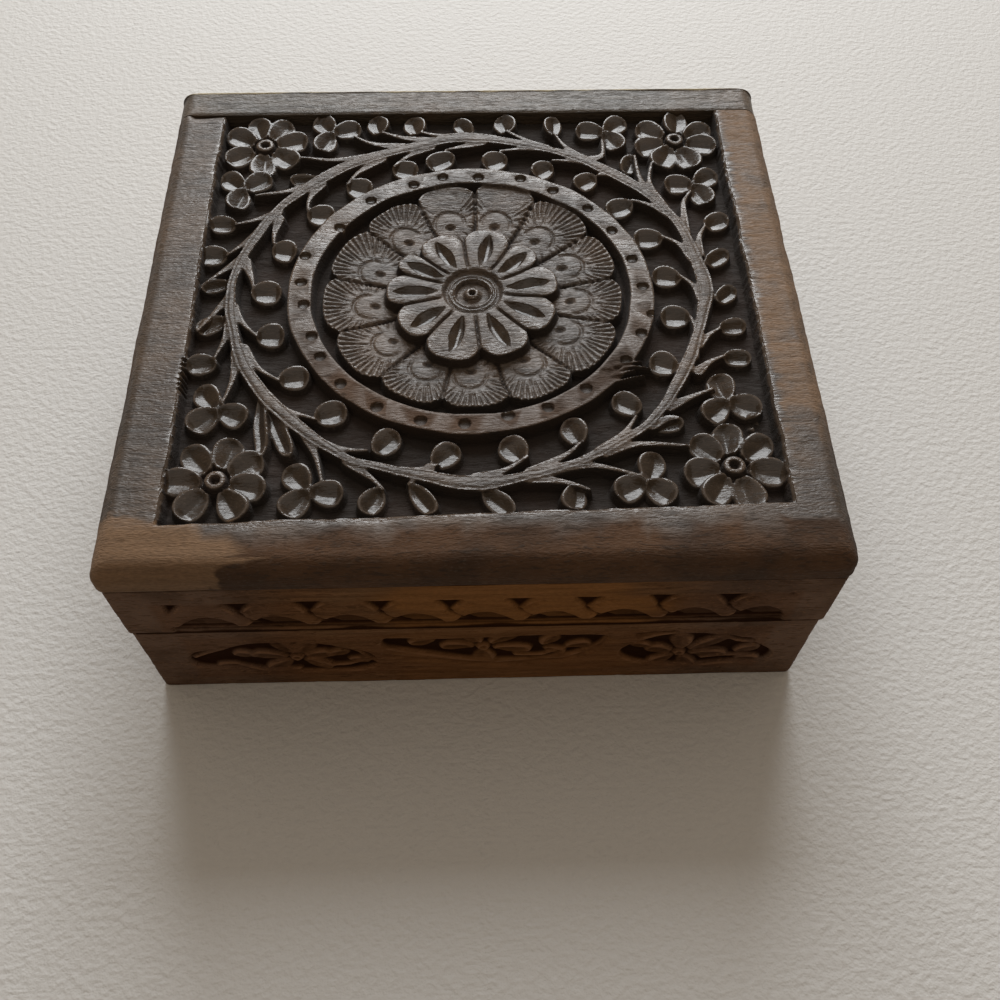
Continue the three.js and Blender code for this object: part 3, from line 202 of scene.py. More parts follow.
# Hollows and stems: points along the middle, each with a width
BAND_HOLLOWS = (
    ((-60, 12, 9), (-51, 14, 13), (-41, 14, 16), (-31, 13, 13), (-25.5, 11.5, 6)),
    ((-19, 21, 5), (-9, 19.5, 8), (1, 18, 12), (12, 18, 13), (22, 20, 9), (27.5, 22.5, 3)),
    ((35, 14.5, 7), (41, 15, 15), (49, 15, 17), (56, 13.5, 13), (62.5, 10.5, 8)),
    ((-19.5, 22.4, 3), (-14.5, 22.4, 3)), ((35, 23.6, 1.6), (43, 24.2, 1.6)),
    ((57.5, 18.6, 3), (60.5, 18.2, 2)),
)
BAND_STEMS = (
    ((-63, 12.4, 1.2), (-57, 16.5, 1.7), (-52, 19.5, 1.8), (-46, 21, 1.8), (-40, 21.7, 1.8), (-34, 20.5, 1.8),
     (-29, 18.5, 1.7), (-25.5, 14, 1.6), (-23, 11, 1.2)),
    ((-21, 16.4, 1.2), (-13, 14.4, 1.6), (0, 11.6, 1.9), (10, 11.4, 1.9), (19, 12.8, 1.8), (24.4, 16, 1.7),
     (27.6, 20, 1.5), (28.6, 23.6, 1.1)),
    ((33, 17.6, 1.3), (37, 21, 1.6), (42, 22.7, 1.8), (48, 23, 1.8), (53, 21.5, 1.7), (57, 18, 1.5),
     (61, 16.4, 1.1)),
    ((-41, 7, 1.1), (-48, 6.4, 1.3), (-54, 8.6, 1.2)), ((-36, 9, 1.1), (-31, 9.6, 1.2), (-26.4, 11.6, 1.1)),
    ((8, 14, 1.2), (14, 13.6, 1.3), (19, 17, 1.1)), ((51, 9.6, 1.1), (56, 10, 1.3), (61, 9.8, 1.1)),
)
# Each flower's eye, then the middles of its petals
BAND_FLOWERS = (
    ((-40.8, 13.3), (-43, 18.5), (-38.6, 18.2), (-35.8, 14.6), (-36.4, 10), (-45, 9), (-46.6, 14)),
    ((0.8, 18.8), (-1.5, 23.2), (5.2, 23), (7.3, 17.4), (1, 14.2), (-4.8, 19)),
    ((45.3, 12.8), (45, 18.4), (51, 17.2), (52, 11.6), (47.5, 7.6), (41.6, 9.4), (40.6, 14.5)),
)
# Leaves: place, the way the tip points in degrees, length and width
BAND_LEAVES = (
    (-60, 18.5, 150, 6, 5.6), (-56.5, 8, 190, 5.5, 4.5), (-27, 12, -20, 5, 3.6), (-12.5, 21.3, 200, 5.6, 4.4),
    (15.5, 21.3, 60, 5.6, 4.4), (22, 18.5, 20, 5.4, 4.4), (17, 15.8, -30, 5, 3.8), (32, 21.8, 60, 5.4, 4.2),
    (60.5, 13, 20, 5.6, 4.2), (61.5, 7.8, -10, 5.4, 4.2), (-52, 14.4, 160, 5, 4), (-31.6, 15.6, 30, 5, 3.8),
    (36.4, 16.8, 160, 4.6, 3.6),
)


def drift(x, y, across, up, seed):
    """Smooth random values from -1 to 1 over a plane, with swells of the given size."""
    rng = np.random.default_rng(seed)
    u, v = x / across, y / up
    u, v = u - np.floor(u.min()), v - np.floor(v.min())
    lattice = rng.uniform(-1, 1, (int(v.max()) + 2, int(u.max()) + 2))
    i, j = u.astype(int), v.astype(int)
    p, q = u - i, v - j
    p, q = p * p * (3 - 2 * p), q * q * (3 - 2 * q)
    low = lattice[j, i] * (1 - p) + lattice[j, i + 1] * p
    high = lattice[j + 1, i] * (1 - p) + lattice[j + 1, i + 1] * p
    return low * (1 - q) + high * q


def ramp(value, over):
    """0 below nought, 1 from over on, and straight in between."""
    return np.clip(value / over, 0, 1)


def fade(value, over):
    """1 below nought, 0 from over on, and straight in between."""
    return np.clip(1 - value / over, 0, 1)


def dome(value, reach):
    """1 at nought, falling off to 0 at the reach on both sides."""
    return np.clip(1 - (value / reach) ** 2, 0, 1)


def ridge(value, width):
    """1 at nought, falling off smoothly on both sides."""
    return np.exp(-(value / width) ** 2)


def grid_step(steps):
    """The distance between a surface's points: always the finished one, as nothing picks the quick one."""
    finished, quick = steps
    return finished


def blurred(heights, cells):
    """The heights smoothed over a number of cells each way."""
    reach = max(1, round(cells))
    span = 2 * reach + 1
    for axis in (0, 1, 0, 1):
        margin = [(0, 0), (0, 0)]
        margin[axis] = (reach + 1, reach)
        total = np.cumsum(np.pad(heights, margin, mode="edge"), axis=axis)
        after = np.take(total, range(span, total.shape[axis]), axis=axis)
        before = np.take(total, range(total.shape[axis] - span), axis=axis)
        heights = (after - before) / span
    return heights


def softened(heights):
    """The heights with only their sharpest corners taken off."""
    for axis in (0, 1):
        ahead, behind = np.roll(heights, -1, axis), np.roll(heights, 1, axis)
        edge = [slice(None), slice(None)]
        for place in (0, -1):
            edge[axis] = place
            ahead[tuple(edge)] = behind[tuple(edge)] = heights[tuple(edge)]
        heights = 0.5 * heights + 0.25 * (ahead + behind)
    return heights


def smooth_line(points, closed=False, spacing=0.6):
    """Points along a smooth line through the given ones; a width in the last column goes with them."""
    knots = np.asarray(points, float)
    count = len(knots)
    line = []
    for k in range(count if closed else count - 1):
        places = [k - 1, k, k + 1, k + 2]
        places = [p % count for p in places] if closed else [min(max(p, 0), count - 1) for p in places]
        before, start, end, after = knots[places]
        steps = max(2, int(np.hypot(*(end - start)[:2]) / spacing))
        for t in np.arange(steps) / steps:
            line.append(0.5 * (2 * start + (end - before) * t
                               + (2 * before - 5 * start + 4 * end - after) * t ** 2
                               + (3 * start - before - 3 * end + after) * t ** 3))
    line.append(knots[0] if closed else knots[-1])
    return np.array(line)


class Carving:
    """Heights of a carved surface over its ground on a regular grid, in millimetres."""

    def __init__(self, left, right, front, back, step, seed, wander=0.22):
        self.xs = np.linspace(left, right, round((right - left) / step) + 1)
        self.ys = np.linspace(front, back, round((back - front) / step) + 1)
        self.x, self.y = np.meshgrid(self.xs, self.ys)
        self.u = self.x + wander * drift(self.x, self.y, 5, 5, seed)
        self.v = self.y + wander * drift(self.x, self.y, 5, 5, seed + 1)
        self.z = np.zeros_like(self.x)
        self.cut = np.zeros_like(self.x)
        self.step = step

    def near(self, points, reach):
        """The part of the grid within reach of the points."""
        points = np.atleast_2d(points)
        left, front = points[:, :2].min(0) - reach
        right, back = points[:, :2].max(0) + reach
        return (slice(*np.searchsorted(self.ys, (front, back))),
                slice(*np.searchsorted(self.xs, (left, right))))

    def distance(self, window, x, y):
        """How far the window's points lie from a place."""
        return np.hypot(self.u[window] - x, self.v[window] - y)

    def lift(self, window, heights, cut=0.0):
        """Raises the surface to the heights; cut says where the knife left it smooth."""
        self.cut[window] = np.where(heights > self.z[window], cut, self.cut[window])
        self.z[window] = np.maximum(self.z[window], heights)

    def leaf(self, x, y, heading, length, width, height, hollow, wall=0.4, swell=0.14):
        """An oval cut in two strokes along it: its far half falls to a crease, its near half is a facet."""
        window = self.near((x, y), length / 2 + wall + 1)
        du, dv = self.u[window] - x, self.v[window] - y
        c, s = math.cos(math.radians(heading)), math.sin(math.radians(heading))
        along = (du * c + dv * s) * 2 / length
        half = width / 2 * (1 + swell * np.clip(along, -1, 1))
        across = (dv * c - du * s) / half * (1 if c >= 0 else -1)
        inside = (1 - np.hypot(along, across)) * min(length, width) / 2
        chord = np.sqrt(np.clip(1 - along ** 2, 0.04, 1))
        side = np.clip(across / chord, -1, 1)
        crease, rim, bevel, bevel_width = -0.14, 0.9, 0.12, 0.45
        far, near = ramp(rim - side, rim - crease), ramp(1 + side, 1 + crease)
        fall = np.where(side > crease, far ** 1.2, 0.7 + 0.3 * near)
        depth = hollow * fall * np.clip(1.7 * chord - 0.35, 0, 1) + bevel * fade(inside, bevel_width)
        flank = fade(-inside, wall)
        self.lift(window, (height - depth) * flank, np.clip(inside / 0.15 + 0.5, 0, 1))

    def along(self, points, reach, closed=False):
        """For a smooth line with a width: the way out from its edge, the way across it, half its width."""
        line = smooth_line(points, closed)
        gap = np.full(self.x.shape, FAR)
        offset, half = np.zeros_like(gap), np.ones_like(gap)
        for start, end in zip(line[:-1], line[1:]):
            window = self.near([start[:2], end[:2]], max(start[2], end[2]) / 2 + reach + 0.5)
            du, dv = self.u[window] - start[0], self.v[window] - start[1]
            run = end[:2] - start[:2]
            t = ramp(du * run[0] + dv * run[1], max(run @ run, 1e-9))
            width = start[2] + (end[2] - start[2]) * t
            out = np.hypot(du - run[0] * t, dv - run[1] * t)
            closer = out - width / 2 < gap[window]
            side = np.sign(du * run[1] - dv * run[0])
            for kept, new in ((offset, out * side), (half, width / 2), (gap, out - width / 2)):
                kept[window] = np.where(closer, new, kept[window])
        return gap, offset, half

    def band(self, points, height, wall=0.7, crown=0.0, lined=0.0, closed=False):
        """A raised band along a smooth line of given widths, with a scribed line beside each of its edges."""
        gap, offset, half = self.along(points, wall, closed)
        share = ramp(np.abs(offset), half)
        top = height - crown * share ** 4
        top = top - lined * ridge(half - np.abs(offset) - 0.62, 0.2) * np.clip(2 * half - 1.2, 0, 1)
        flank = (height - crown) * fade(gap, wall)
        self.lift(..., np.where(gap < 0, top, flank))

    def groove(self, points, depth, reach=0.35):
        """A cut along a smooth line."""
        self.z -= depth * ridge(np.clip(self.along(points, 4 * reach)[0], 0, FAR), reach)

    def hollow(self, points, floor, wall=0.5):
        """A sunk place along a smooth line, as wide as its points say."""
        gap = self.along(points, wall)[0]
        self.z = np.minimum(self.z, floor + (self.z - floor) * fade(-gap, wall))

    def flower(self, x, y, ways, reach, petal, button=0, button_height=0, hole=0):
        """Petals round a middle, perhaps with a drilled button; petal is length, width, height and hollow."""
        for way in ways:
            turn = math.radians(way)
            self.leaf(x + reach * math.cos(turn), y + reach * math.sin(turn), way, *petal, swell=0.22)
        if button:
            window = self.near((x, y), button + 2)
            out = self.distance(window, x, y)
            bevel = 0.6
            top = button_height - 0.4 * ramp(out - button + bevel, bevel)
            top = top - 1.7 * dome(out, hole) - np.where(out < hole, 0.3, 0)
            moat = np.where(out < button, top, button_height * 0.4)
            self.z[window] = np.where(out < button + 0.5, moat, self.z[window])

    def wedges(self, middle_x, middle_y, reach, table):
        """A window round a middle, with its places, distances and angles from there."""
        window = self.near((0, 0), reach)
        u, v = self.u[window] - middle_x, self.v[window] - middle_y
        angle = np.degrees(np.arctan2(v, u))
        return window, u, v, np.hypot(u, v), np.where(angle > table[0][1], angle - 360, angle)

    def sample(self, grid, x, y):
        """The grid's values at any places, in between its points."""
        i = np.clip((x - self.xs[0]) / (self.xs[1] - self.xs[0]), 0, len(self.xs) - 1.001)
        j = np.clip((y - self.ys[0]) / (self.ys[1] - self.ys[0]), 0, len(self.ys) - 1.001)
        a, b = i.astype(int), j.astype(int)
        p, q = i - a, j - b
        low = grid[b, a] * (1 - p) + grid[b, a + 1] * p
        high = grid[b + 1, a] * (1 - p) + grid[b + 1, a + 1] * p
        return low * (1 - q) + high * q

    def steep(self):
        """1 where the surface stands nearly upright, 0 where it lies flat."""
        along_y, along_x = np.gradient(self.z, self.step)
        return ramp(np.hypot(along_x, along_y) - 0.9, 1.2) * (1 - self.cut)

    def tone(self, reach):
        """How far each point stands out from what lies round it, from -1 in a cut to 1 on an edge."""
        stand = self.z - blurred(self.z, reach / self.step)
        return np.clip(stand / 0.55, -1, 1)


def petal_share(angle, span, k):
    """For the k-th wedge: which points lie in it, their share from its middle to its edge, the angle left."""
    middle, cut, _ = span[k]
    before = span[k - 1][1] - (0 if k else -360)
    turned = np.where(angle < 0, angle + 360, angle) if k == 0 else angle
    left = np.minimum(turned - cut, before - turned)
    share = np.where(turned > middle, (turned - middle) / (before - middle),
                     (middle - turned) / (middle - cut))
    return left >= 0, np.clip(share, 0, 1), np.abs(left)


def carve_rosette(carving, sizes):
    """Scalloped lobes, each with a fan of cuts at its rim, a horseshoe and a dot, dished to the middle."""
    # Lengths in millimetres, but the dot's place as a share of the core's and the fan's turn in degrees
    scallop, core_reach, core_radius, parting, wall = 2.4, 23.6, 3.4, 0.34, 0.6
    fan_turn, fan_start, fan_depth = 8.2, 4.7, 0.75
    horseshoe_radius, horseshoe_width, horseshoe_turn = 3.6, 0.3, 110
    dot_share, dot_length, dot_depth = 0.945, 1.3, 0.85
    window, u, v, radius, angle = carving.wedges(sizes.rosette_x, sizes.rosette_y, 37, LOBES)
    rim_height, bowl_height = sizes.rosette_height, sizes.rosette_bowl
    heights = np.full(radius.shape, -1.0)
    for k, (middle, _, reach) in enumerate(LOBES):
        inside, share, left = petal_share(angle, LOBES, k)
        rim = reach - scallop * share ** 4
        turn = math.radians(middle)
        core = core_reach * math.cos(turn), core_reach * math.sin(turn)
        du, dv = u - core[0], v - core[1]
        rho = np.hypot(du, dv)
        psi = (np.degrees(np.arctan2(dv, du)) - middle + 180) % 360 - 180
        rise = ramp(radius - 20, rim - 21.5) ** 1.3
        top = bowl_height + (rim_height - bowl_height) * rise
        stroke = psi / fan_turn
        cuts = (0.5 + 0.5 * np.cos(2 * math.pi * stroke)) ** 5
        start = fan_start + 1.1 * np.sin(2.3 * np.round(stroke) + 5 * k)
        # The two lobes at the back show only the outer cuts of their fans
        sides_only = ramp(np.abs(psi) - 34, 14) if k in (0, 1) else 1
        top = top - fan_depth * sides_only * cuts * ramp(rho - start, 1.2) * ramp(rim - radius, 0.5)
        horseshoe = ridge(rho - horseshoe_radius, horseshoe_width) * ramp(horseshoe_turn - np.abs(psi), 20)
        top = top - 0.5 * horseshoe
        top = top + 0.3 * fade(rho, core_radius)
        dot = np.hypot((u - core[0] * dot_share) / dot_length, v - core[1] * dot_share)
        top = top - dot_depth * dome(dot, 1)
        top = top - 0.9 * ridge(np.radians(left) * radius, parting)
        top = top + 0.3 * ridge(rim - radius - 0.4, 0.38)
        flank = rim_height * fade(radius - rim, wall)
        heights = np.where(inside, np.where(radius < rim, top, flank), heights)
    carving.lift(window, heights)


def carve_central_flower(carving, sizes):
    """Rounded petals parted by thin cuts, each with a lens-shaped gouge, round a sunk and beaded eye."""
    scallop, bevel, wall, parting = 3.6, 0.45, 0.4, 0.32
    gouge_start, gouge_end, gouge_half, gouge_depth = 7.6, 1.6, 1.5, 1.2
    window, u, v, radius, angle = carving.wedges(sizes.flower_x, sizes.flower_y, 23, PETALS)
    height = sizes.flower_height
    heights, smooth = np.full(radius.shape, -1.0), np.zeros(radius.shape)
    for k, (middle, _, reach) in enumerate(PETALS):
        inside, share, left = petal_share(angle, PETALS, k)
        rim = reach - scallop * share ** 3.2
        turn = math.radians(middle)
        c, s = math.cos(turn), math.sin(turn)
        along = u * c + v * s
        across = (v * c - u * s) * (1 if c >= 0 else -1)
        top = height - 0.12 * share ** 2 - 0.1 * ramp(radius - rim + bevel, bevel)
        t = ramp(along - gouge_start, reach - (gouge_start + gouge_end))
        lens = gouge_half * np.sin(np.pi * t ** 1.1) ** 0.9 + 0.01
        valley = -0.1 * lens
        far = ramp(across - valley, lens - valley)
        near = ramp(valley - across, valley + lens)
        gouge = gouge_depth * (1 - far) * (1 - 0.2 * near) * ramp(lens, 1.1)
        gouged = (t > 0) & (t < 1) & (np.abs(across) < lens)
        top = top - np.where(gouged, gouge, 0)
        smooth = np.where(inside & gouged, 1.0, smooth)
        cut = fade(np.radians(left) * radius, parting)
        top = top - 1.2 * cut * ramp(radius - 6.5, 2)
        flank = 1.0 + (height - 1.2) * fade(radius - rim, wall)
        flank = np.where(radius > rim + wall, -1, flank)
        heights = np.where(inside, np.where(radius < rim, top, flank), heights)
    # The eye: two beads round a sunk floor, a raised pip in its middle and a hole in the pip
    eye_reach, bowl_start, bead_depth, sunk_reach, pip_reach, hole = 8, 5.9, 1.3, 3.8, 2, 0.55
    floor = height - bead_depth
    eye = floor + 1.5 * ramp(radius - bowl_start, 1.1) ** 1.5
    for bead in (4.3, 5.2):
        eye = eye + 0.7 * ridge(radius - bead, 0.3)
    eye = np.where(radius < sunk_reach, eye - 0.6, eye)
    pip = floor + 0.6 * dome(radius - 1.1, 0.75)
    eye = np.where(radius < pip_reach, np.maximum(eye, pip), eye)
    eye = np.where(radius < hole, floor - 0.8, eye)
    petals = np.where(heights < 0, height, heights)
    heights = np.where(radius < eye_reach, np.minimum(eye, petals), heights)
    smooth = np.where((radius > 3.9) & (radius < 5.6), 0.7, smooth)
    carving.lift(window, heights, smooth)


def carve_ring(carving, sizes):
    """A flat, slightly oval ring with bevelled edges and a row of punched holes."""
    punch_radius, bevel, bevel_width, wall = 1.25, 0.1, 0.45, 0.4
    window = carving.near((0, 0), 44)
    u = carving.u[window] - sizes.ring_x
    v = (carving.v[window] - sizes.ring_y) / sizes.group.ring_squash
    height, width = sizes.ring_height, sizes.ring_width
    middle = sizes.ring_radius - width / 2
    inside = width / 2 - np.abs(np.hypot(u, v) - middle)
    top = height - bevel * fade(inside, bevel_width)
    flank = (height - bevel) * fade(-inside, wall)
    carving.lift(window, np.where(inside > 0, top, flank))
    for x, y in PUNCHES:
        window = carving.near((x, y), 2 * punch_radius)
        out = carving.distance(window, x, y)
        rise = 0.5 + 0.4 * (carving.v[window] - y)
        pit = height - ramp(1 - rise, 0.3) * (0.5 + 0.6 * rise)
        pit = np.where(out < punch_radius, pit, height)
        carving.cut[window] = np.where(out < punch_radius, 1, carving.cut[window])
        carving.z[window] = np.minimum(carving.z[window], pit)


def carve_splinters(carving, height):
    """Where the ring is broken: a few long splinters and the gap that they leave."""
    window = carving.near([(27, -27), (38, -20)], 0)
    rough = drift(carving.x[window], carving.y[window], 2.4, 0.7, 31)
    reach = np.hypot((carving.x[window] - 33) / 5.4, (carving.y[window] + 23.2) / 2.6)
    carving.z[window] -= np.clip(1.25 - reach, 0, 0.8) * np.clip(0.6 + rough, 0, 1) * 1.2
    for points in SPLINTERS:
        carving.band(points, height, wall=0.5, crown=0.2)


def carve_field(sizes, step):
    """The whole top of the lid inside its rounded edges, as heights over the ground of the field."""
    reach_x, front = top_flat_reach(sizes)
    depth = sizes.field_depth
    carving = Carving(-reach_x, reach_x, front, sizes.panel_back, step, seed=7)
    stem, vine = sizes.stem_height, sizes.vine_height
    leaf, hollow = sizes.leaf_height, sizes.leaf_hollow
    root_width, middle_width, tip_width = 2.7, 1.5, 0.85
    for x0, y0, x1, y1, x2, y2 in STEMS:
        tapering = (x0, y0, root_width), (x1, y1, middle_width), (x2, y2, tip_width)
        carving.band(tapering, stem, wall=0.35, crown=0.1, lined=0.2)
    carving.band(VINE, vine, wall=0.4, crown=0.1, lined=0.3, closed=True)
    for x, y, heading, length, width in LEAVES:
        carving.leaf(x, y, heading, length, width, leaf, hollow)
    for x, y, *ways in TREFOILS:
        carving.flower(x, y, ways, reach=3.7, petal=(7.0, 5.8, leaf, hollow))
    for x, y, *ways in CORNER_FLOWERS:
        carving.flower(x, y, ways, reach=6.7, petal=(8.0, 6.3, leaf, hollow),
                       button=2.4, button_height=leaf - 0.1, hole=1.05)
    carve_rosette(carving, sizes)
    carve_central_flower(carving, sizes)
    carve_ring(carving, sizes)
    carve_splinters(carving, sizes.ring_height)
    x, y = carving.x, carving.y
    chisel = 0.2 * drift(x, y, 3.2, 1.1, 9) + 0.2 * drift(x, y, 9, 7, 10)
    carving.z = np.maximum(carving.z, chisel)
    left, right = sizes.field_left, sizes.field_right
    slant = (x - left) / (right - left)
    edge = sizes.field_front_left * (1 - slant) + sizes.field_front_right * slant
    ragged = 0.14 * drift(x, y, 1.5, 1.1, 11) + 0.26 * drift(x, y, 7, 7, 12)
    # A row of nicks in the left border
    nick_spacing, nick_depth, nicks_low, nicks_high = 1.35, 0.6, -27, -18
    nicks = np.clip(np.sin(y * 2 * math.pi / nick_spacing + ragged * 6), 0, 1)
    nicks = ((y < nicks_high) & (y > nicks_low) & (x < 0)) * nick_depth * nicks
    inside = np.minimum(np.minimum(x - left + nicks, right - x), y - edge) + ragged
    bevel, bevel_width, wall = 0.1, 0.45, 0.4
    chamfer = bevel * fade(-inside, bevel_width)
    carving.lift(..., (depth - chamfer) * fade(inside, wall), (inside < 0) & (inside > -bevel_width))
    border = inside < 0
    # The crust in the lower right corner, then the border's wear and the gap at the strip's left end
    crust_height, crust_top = 1.6, 2.6
    crust = np.clip(1 - np.hypot((x - 58.7) / 1.8, (y + 37) / 3.2), 0, 1)
    rough = 0.7 + 0.5 * drift(x, y, 0.8, 0.8, 13)
    carving.z += crust_height * np.sqrt(crust) * rough * (carving.z < crust_top)
    across = drift(x, y, 3, 0.9, 16) * ramp(np.abs(x) - 61, 3)
    wear = 0.12 * drift(x, y, 18, 14, 17)
    carving.z = softened(carving.z)
    carving.z += np.where(border, 0.05 * across + wear - 0.12, 0)
    gap_depth, gap_front, gap_right = 1.1, 58.5, -54
    carving.z -= gap_depth * (ramp(y - gap_front, 3.4) ** 2 * ramp(gap_right - x, 14))
    return carving


def top_flat_reach(sizes):
    """How far the flat part of the lid's top reaches sideways and to the front, in millimetres."""
    edge = sizes.edge_round
    return sizes.box_width / 2 - edge, edge - sizes.box_depth / 2


def front_bow(x):
    """How much higher the photographed front looks at x than a straight one, in millimetres."""
    highest, fall, middle, reach = 1.5, 3.8, 12, 77
    return highest - fall * ((np.asarray(x) - middle) / reach) ** 2


def straightened(points, share):
    """Points of the bowed front as they lie on a straight wall whose length is a share of the front's."""
    line = np.array(points, float)
    line[:, 1] -= front_bow(line[:, 0])
    line[:, 0] *= share
    return line


def make_mesh(name, points, quads, polygons=()):
    """A mesh in metres from points in millimetres, an array of four-cornered faces and a list of others."""
    mesh = bpy.data.meshes.new(name)
    corners = np.concatenate([np.asarray(quads, np.int32).ravel(),
                              *[np.asarray(polygon, np.int32) for polygon in polygons]])
    sizes = np.array([4] * len(quads) + [len(p) for p in polygons], np.int32)
    mesh.vertices.add(len(points))
    mesh.vertices.foreach_set("co", (np.asarray(points, np.float32) * MM).ravel())
    mesh.loops.add(len(corners))
    mesh.loops.foreach_set("vertex_index", corners)
    mesh.polygons.add(len(sizes))
    starts = np.concatenate([[0], np.cumsum(sizes)[:-1]])
    mesh.polygons.foreach_set("loop_start", starts.astype(np.int32))
    mesh.update(calc_edges=True)
    mesh.validate()
    return mesh


def grid_quads(rows, columns):
    """Faces of a grid whose points are counted along its rows; they face up where x and y rise."""
    index = np.arange(rows * columns).reshape(rows, columns)
    return np.stack([index[:-1, :-1], index[:-1, 1:], index[1:, 1:], index[1:, :-1]], -1).reshape(-1, 4)


def places(mesh):
    """The mesh's points in millimetres."""
    flat = np.empty(len(mesh.vertices) * 3, np.float32)
    mesh.vertices.foreach_get("co", flat)
    return flat.reshape(-1, 3).astype(float) / MM


def mark(mesh, name, values):
    """Stores one value for each point, for the material to read."""
    layer = mesh.attributes.new(name, "FLOAT", "POINT")
    layer.data.foreach_set("value", np.asarray(values, np.float32))


def settle(piece, body, node, material):
    """Puts a finished piece on its body, in place of its node."""
    piece.data.materials.clear()
    piece.data.materials.append(material)
    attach(piece, body)
    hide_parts(node)


def add_object(name, data):
    """A new object of the scene."""
    piece = bpy.data.objects.new(name, data)
    bpy.context.scene.collection.objects.link(piece)
    return piece


def thinned(piece, most_faces):
    """Takes away the triangles that flat parts can do without, and shades what is left."""
    triangles = sum(len(polygon.vertices) - 2 for polygon in piece.data.polygons)
    if triangles > most_faces:
        piece.modifiers.new("Thin", "DECIMATE").ratio = most_faces / triangles
        graph = bpy.context.evaluated_depsgraph_get()
        piece.data = bpy.data.meshes.new_from_object(piece.evaluated_get(graph))
        piece.modifiers.clear()
    piece.data.shade_smooth()
    piece.data.set_sharp_from_angle(angle=math.radians(SHARP_ON_LID))


class Level:
    """One number of a material's nodes; sums, products and powers of it add the nodes they need."""

    def __init__(self, finish, socket):
        self.finish, self.socket = finish, socket

    def maths(self, operation, *values):
        return self.finish.add("ShaderNodeMath", {"operation": operation}, dict(enumerate(values)))

    def __add__(self, other):
        return self.maths("ADD", self, other)

    def __sub__(self, other):
        return self.maths("SUBTRACT", self, other)

    def __rsub__(self, other):
        return self.maths("SUBTRACT", other, self)

    def __mul__(self, other):
        return self.maths("MULTIPLY", self, other)

    def __truediv__(self, other):
        return self.maths("DIVIDE", self, other)

    def __pow__(self, other):
        return self.maths("POWER", self, other)

    __radd__, __rmul__ = __add__, __mul__

    def within(self, low, high):
        """0 below low, 1 above high and smooth in between."""
        return self.finish.add("ShaderNodeMapRange", {"interpolation_type": "SMOOTHSTEP"},
                               {"Value": self, "From Min": low, "From Max": high})


class Finish:
    """A material that is being put together."""

    def __init__(self, name):
        self.material = bpy.data.materials.new("finish_" + name)
        self.material.use_nodes = True
        self.tree = self.material.node_tree
        self.tree.nodes.clear()

    def add(self, kind, settings=None, inputs=None, output=0):
        """A node of any kind: its settings come first, then the values or links of its sockets."""
        node = self.tree.nodes.new(kind)
        for name, value in (settings or {}).items():
            setattr(node, name, value)
        for name, value in (inputs or {}).items():
            if isinstance(value, Level):
                self.tree.links.new(value.socket, node.inputs[name])
            else:
                node.inputs[name].default_value = value
        return None if output is None else Level(self, node.outputs[output])

    def place(self):
        """The point on the object, in metres."""
        return self.add("ShaderNodeTexCoord", output="Object")

    def noise(self, place, swells, detail=3.0, roughness=0.55, bend=0.0):
        """Noise from 0 to 1 whose swells have the given size in millimetres along each axis."""
        rate = [1 / (size * MM) for size in swells]
        vector = self.add("ShaderNodeVectorMath", {"operation": "MULTIPLY"}, {0: place, 1: rate})
        return self.add("ShaderNodeTexNoise", None,
                        {"Vector": vector, "Scale": 1.0, "Detail": detail, "Roughness": roughness,
                         "Distortion": bend})

    def marked(self, name):
        """A value stored with the mesh."""
        return self.add("ShaderNodeAttribute", {"attribute_name": name}, output="Fac")

    def mix(self, share, first, second):
        """The first colour, giving way to the second as the share goes from 0 to 1."""
        return self.add("ShaderNodeMix", {"data_type": "RGBA"},
                        {0: share, 6: colour4(first), 7: colour4(second)}, output=2)

    def surface(self, colour, roughness, bump, bump_depth, metallic=0.0, shine=0.5):
        """The material's shader; bump_depth is in millimetres."""
        normal = self.add("ShaderNodeBump", None,
                          {"Height": bump, "Distance": bump_depth * MM, "Strength": 1.0})
        shader = self.add("ShaderNodeBsdfPrincipled", None, {
            "Base Color": colour, "Roughness": roughness, "Normal": normal, "Metallic": metallic,
            "Specular IOR Level": shine})
        self.add("ShaderNodeOutputMaterial", None, {"Surface": shader}, output=None)
        return self.material


def colour4(value):
    """A colour as a socket takes it."""
    return value if isinstance(value, Level) else (*value[:3], 1.0)


def shaded(value, times):
    """A darker or lighter colour."""
    return [times * part for part in value]


def corner_way(turn):
    """The way out at a corner whose radius in plan is a share of that of the edge."""
    share, flat = CORNER_SHARE, 1 - CORNER_SHARE
    c, s = math.cos(turn), math.sin(turn)
    if s <= flat * c:
        reach = 1 / c
    elif c <= flat * s:
        reach = 1 / s
    else:
        middle = flat * (c + s)
        reach = middle + math.sqrt(max(0.0, middle ** 2 - 2 * flat ** 2 + share ** 2))
    return c * reach, s * reach


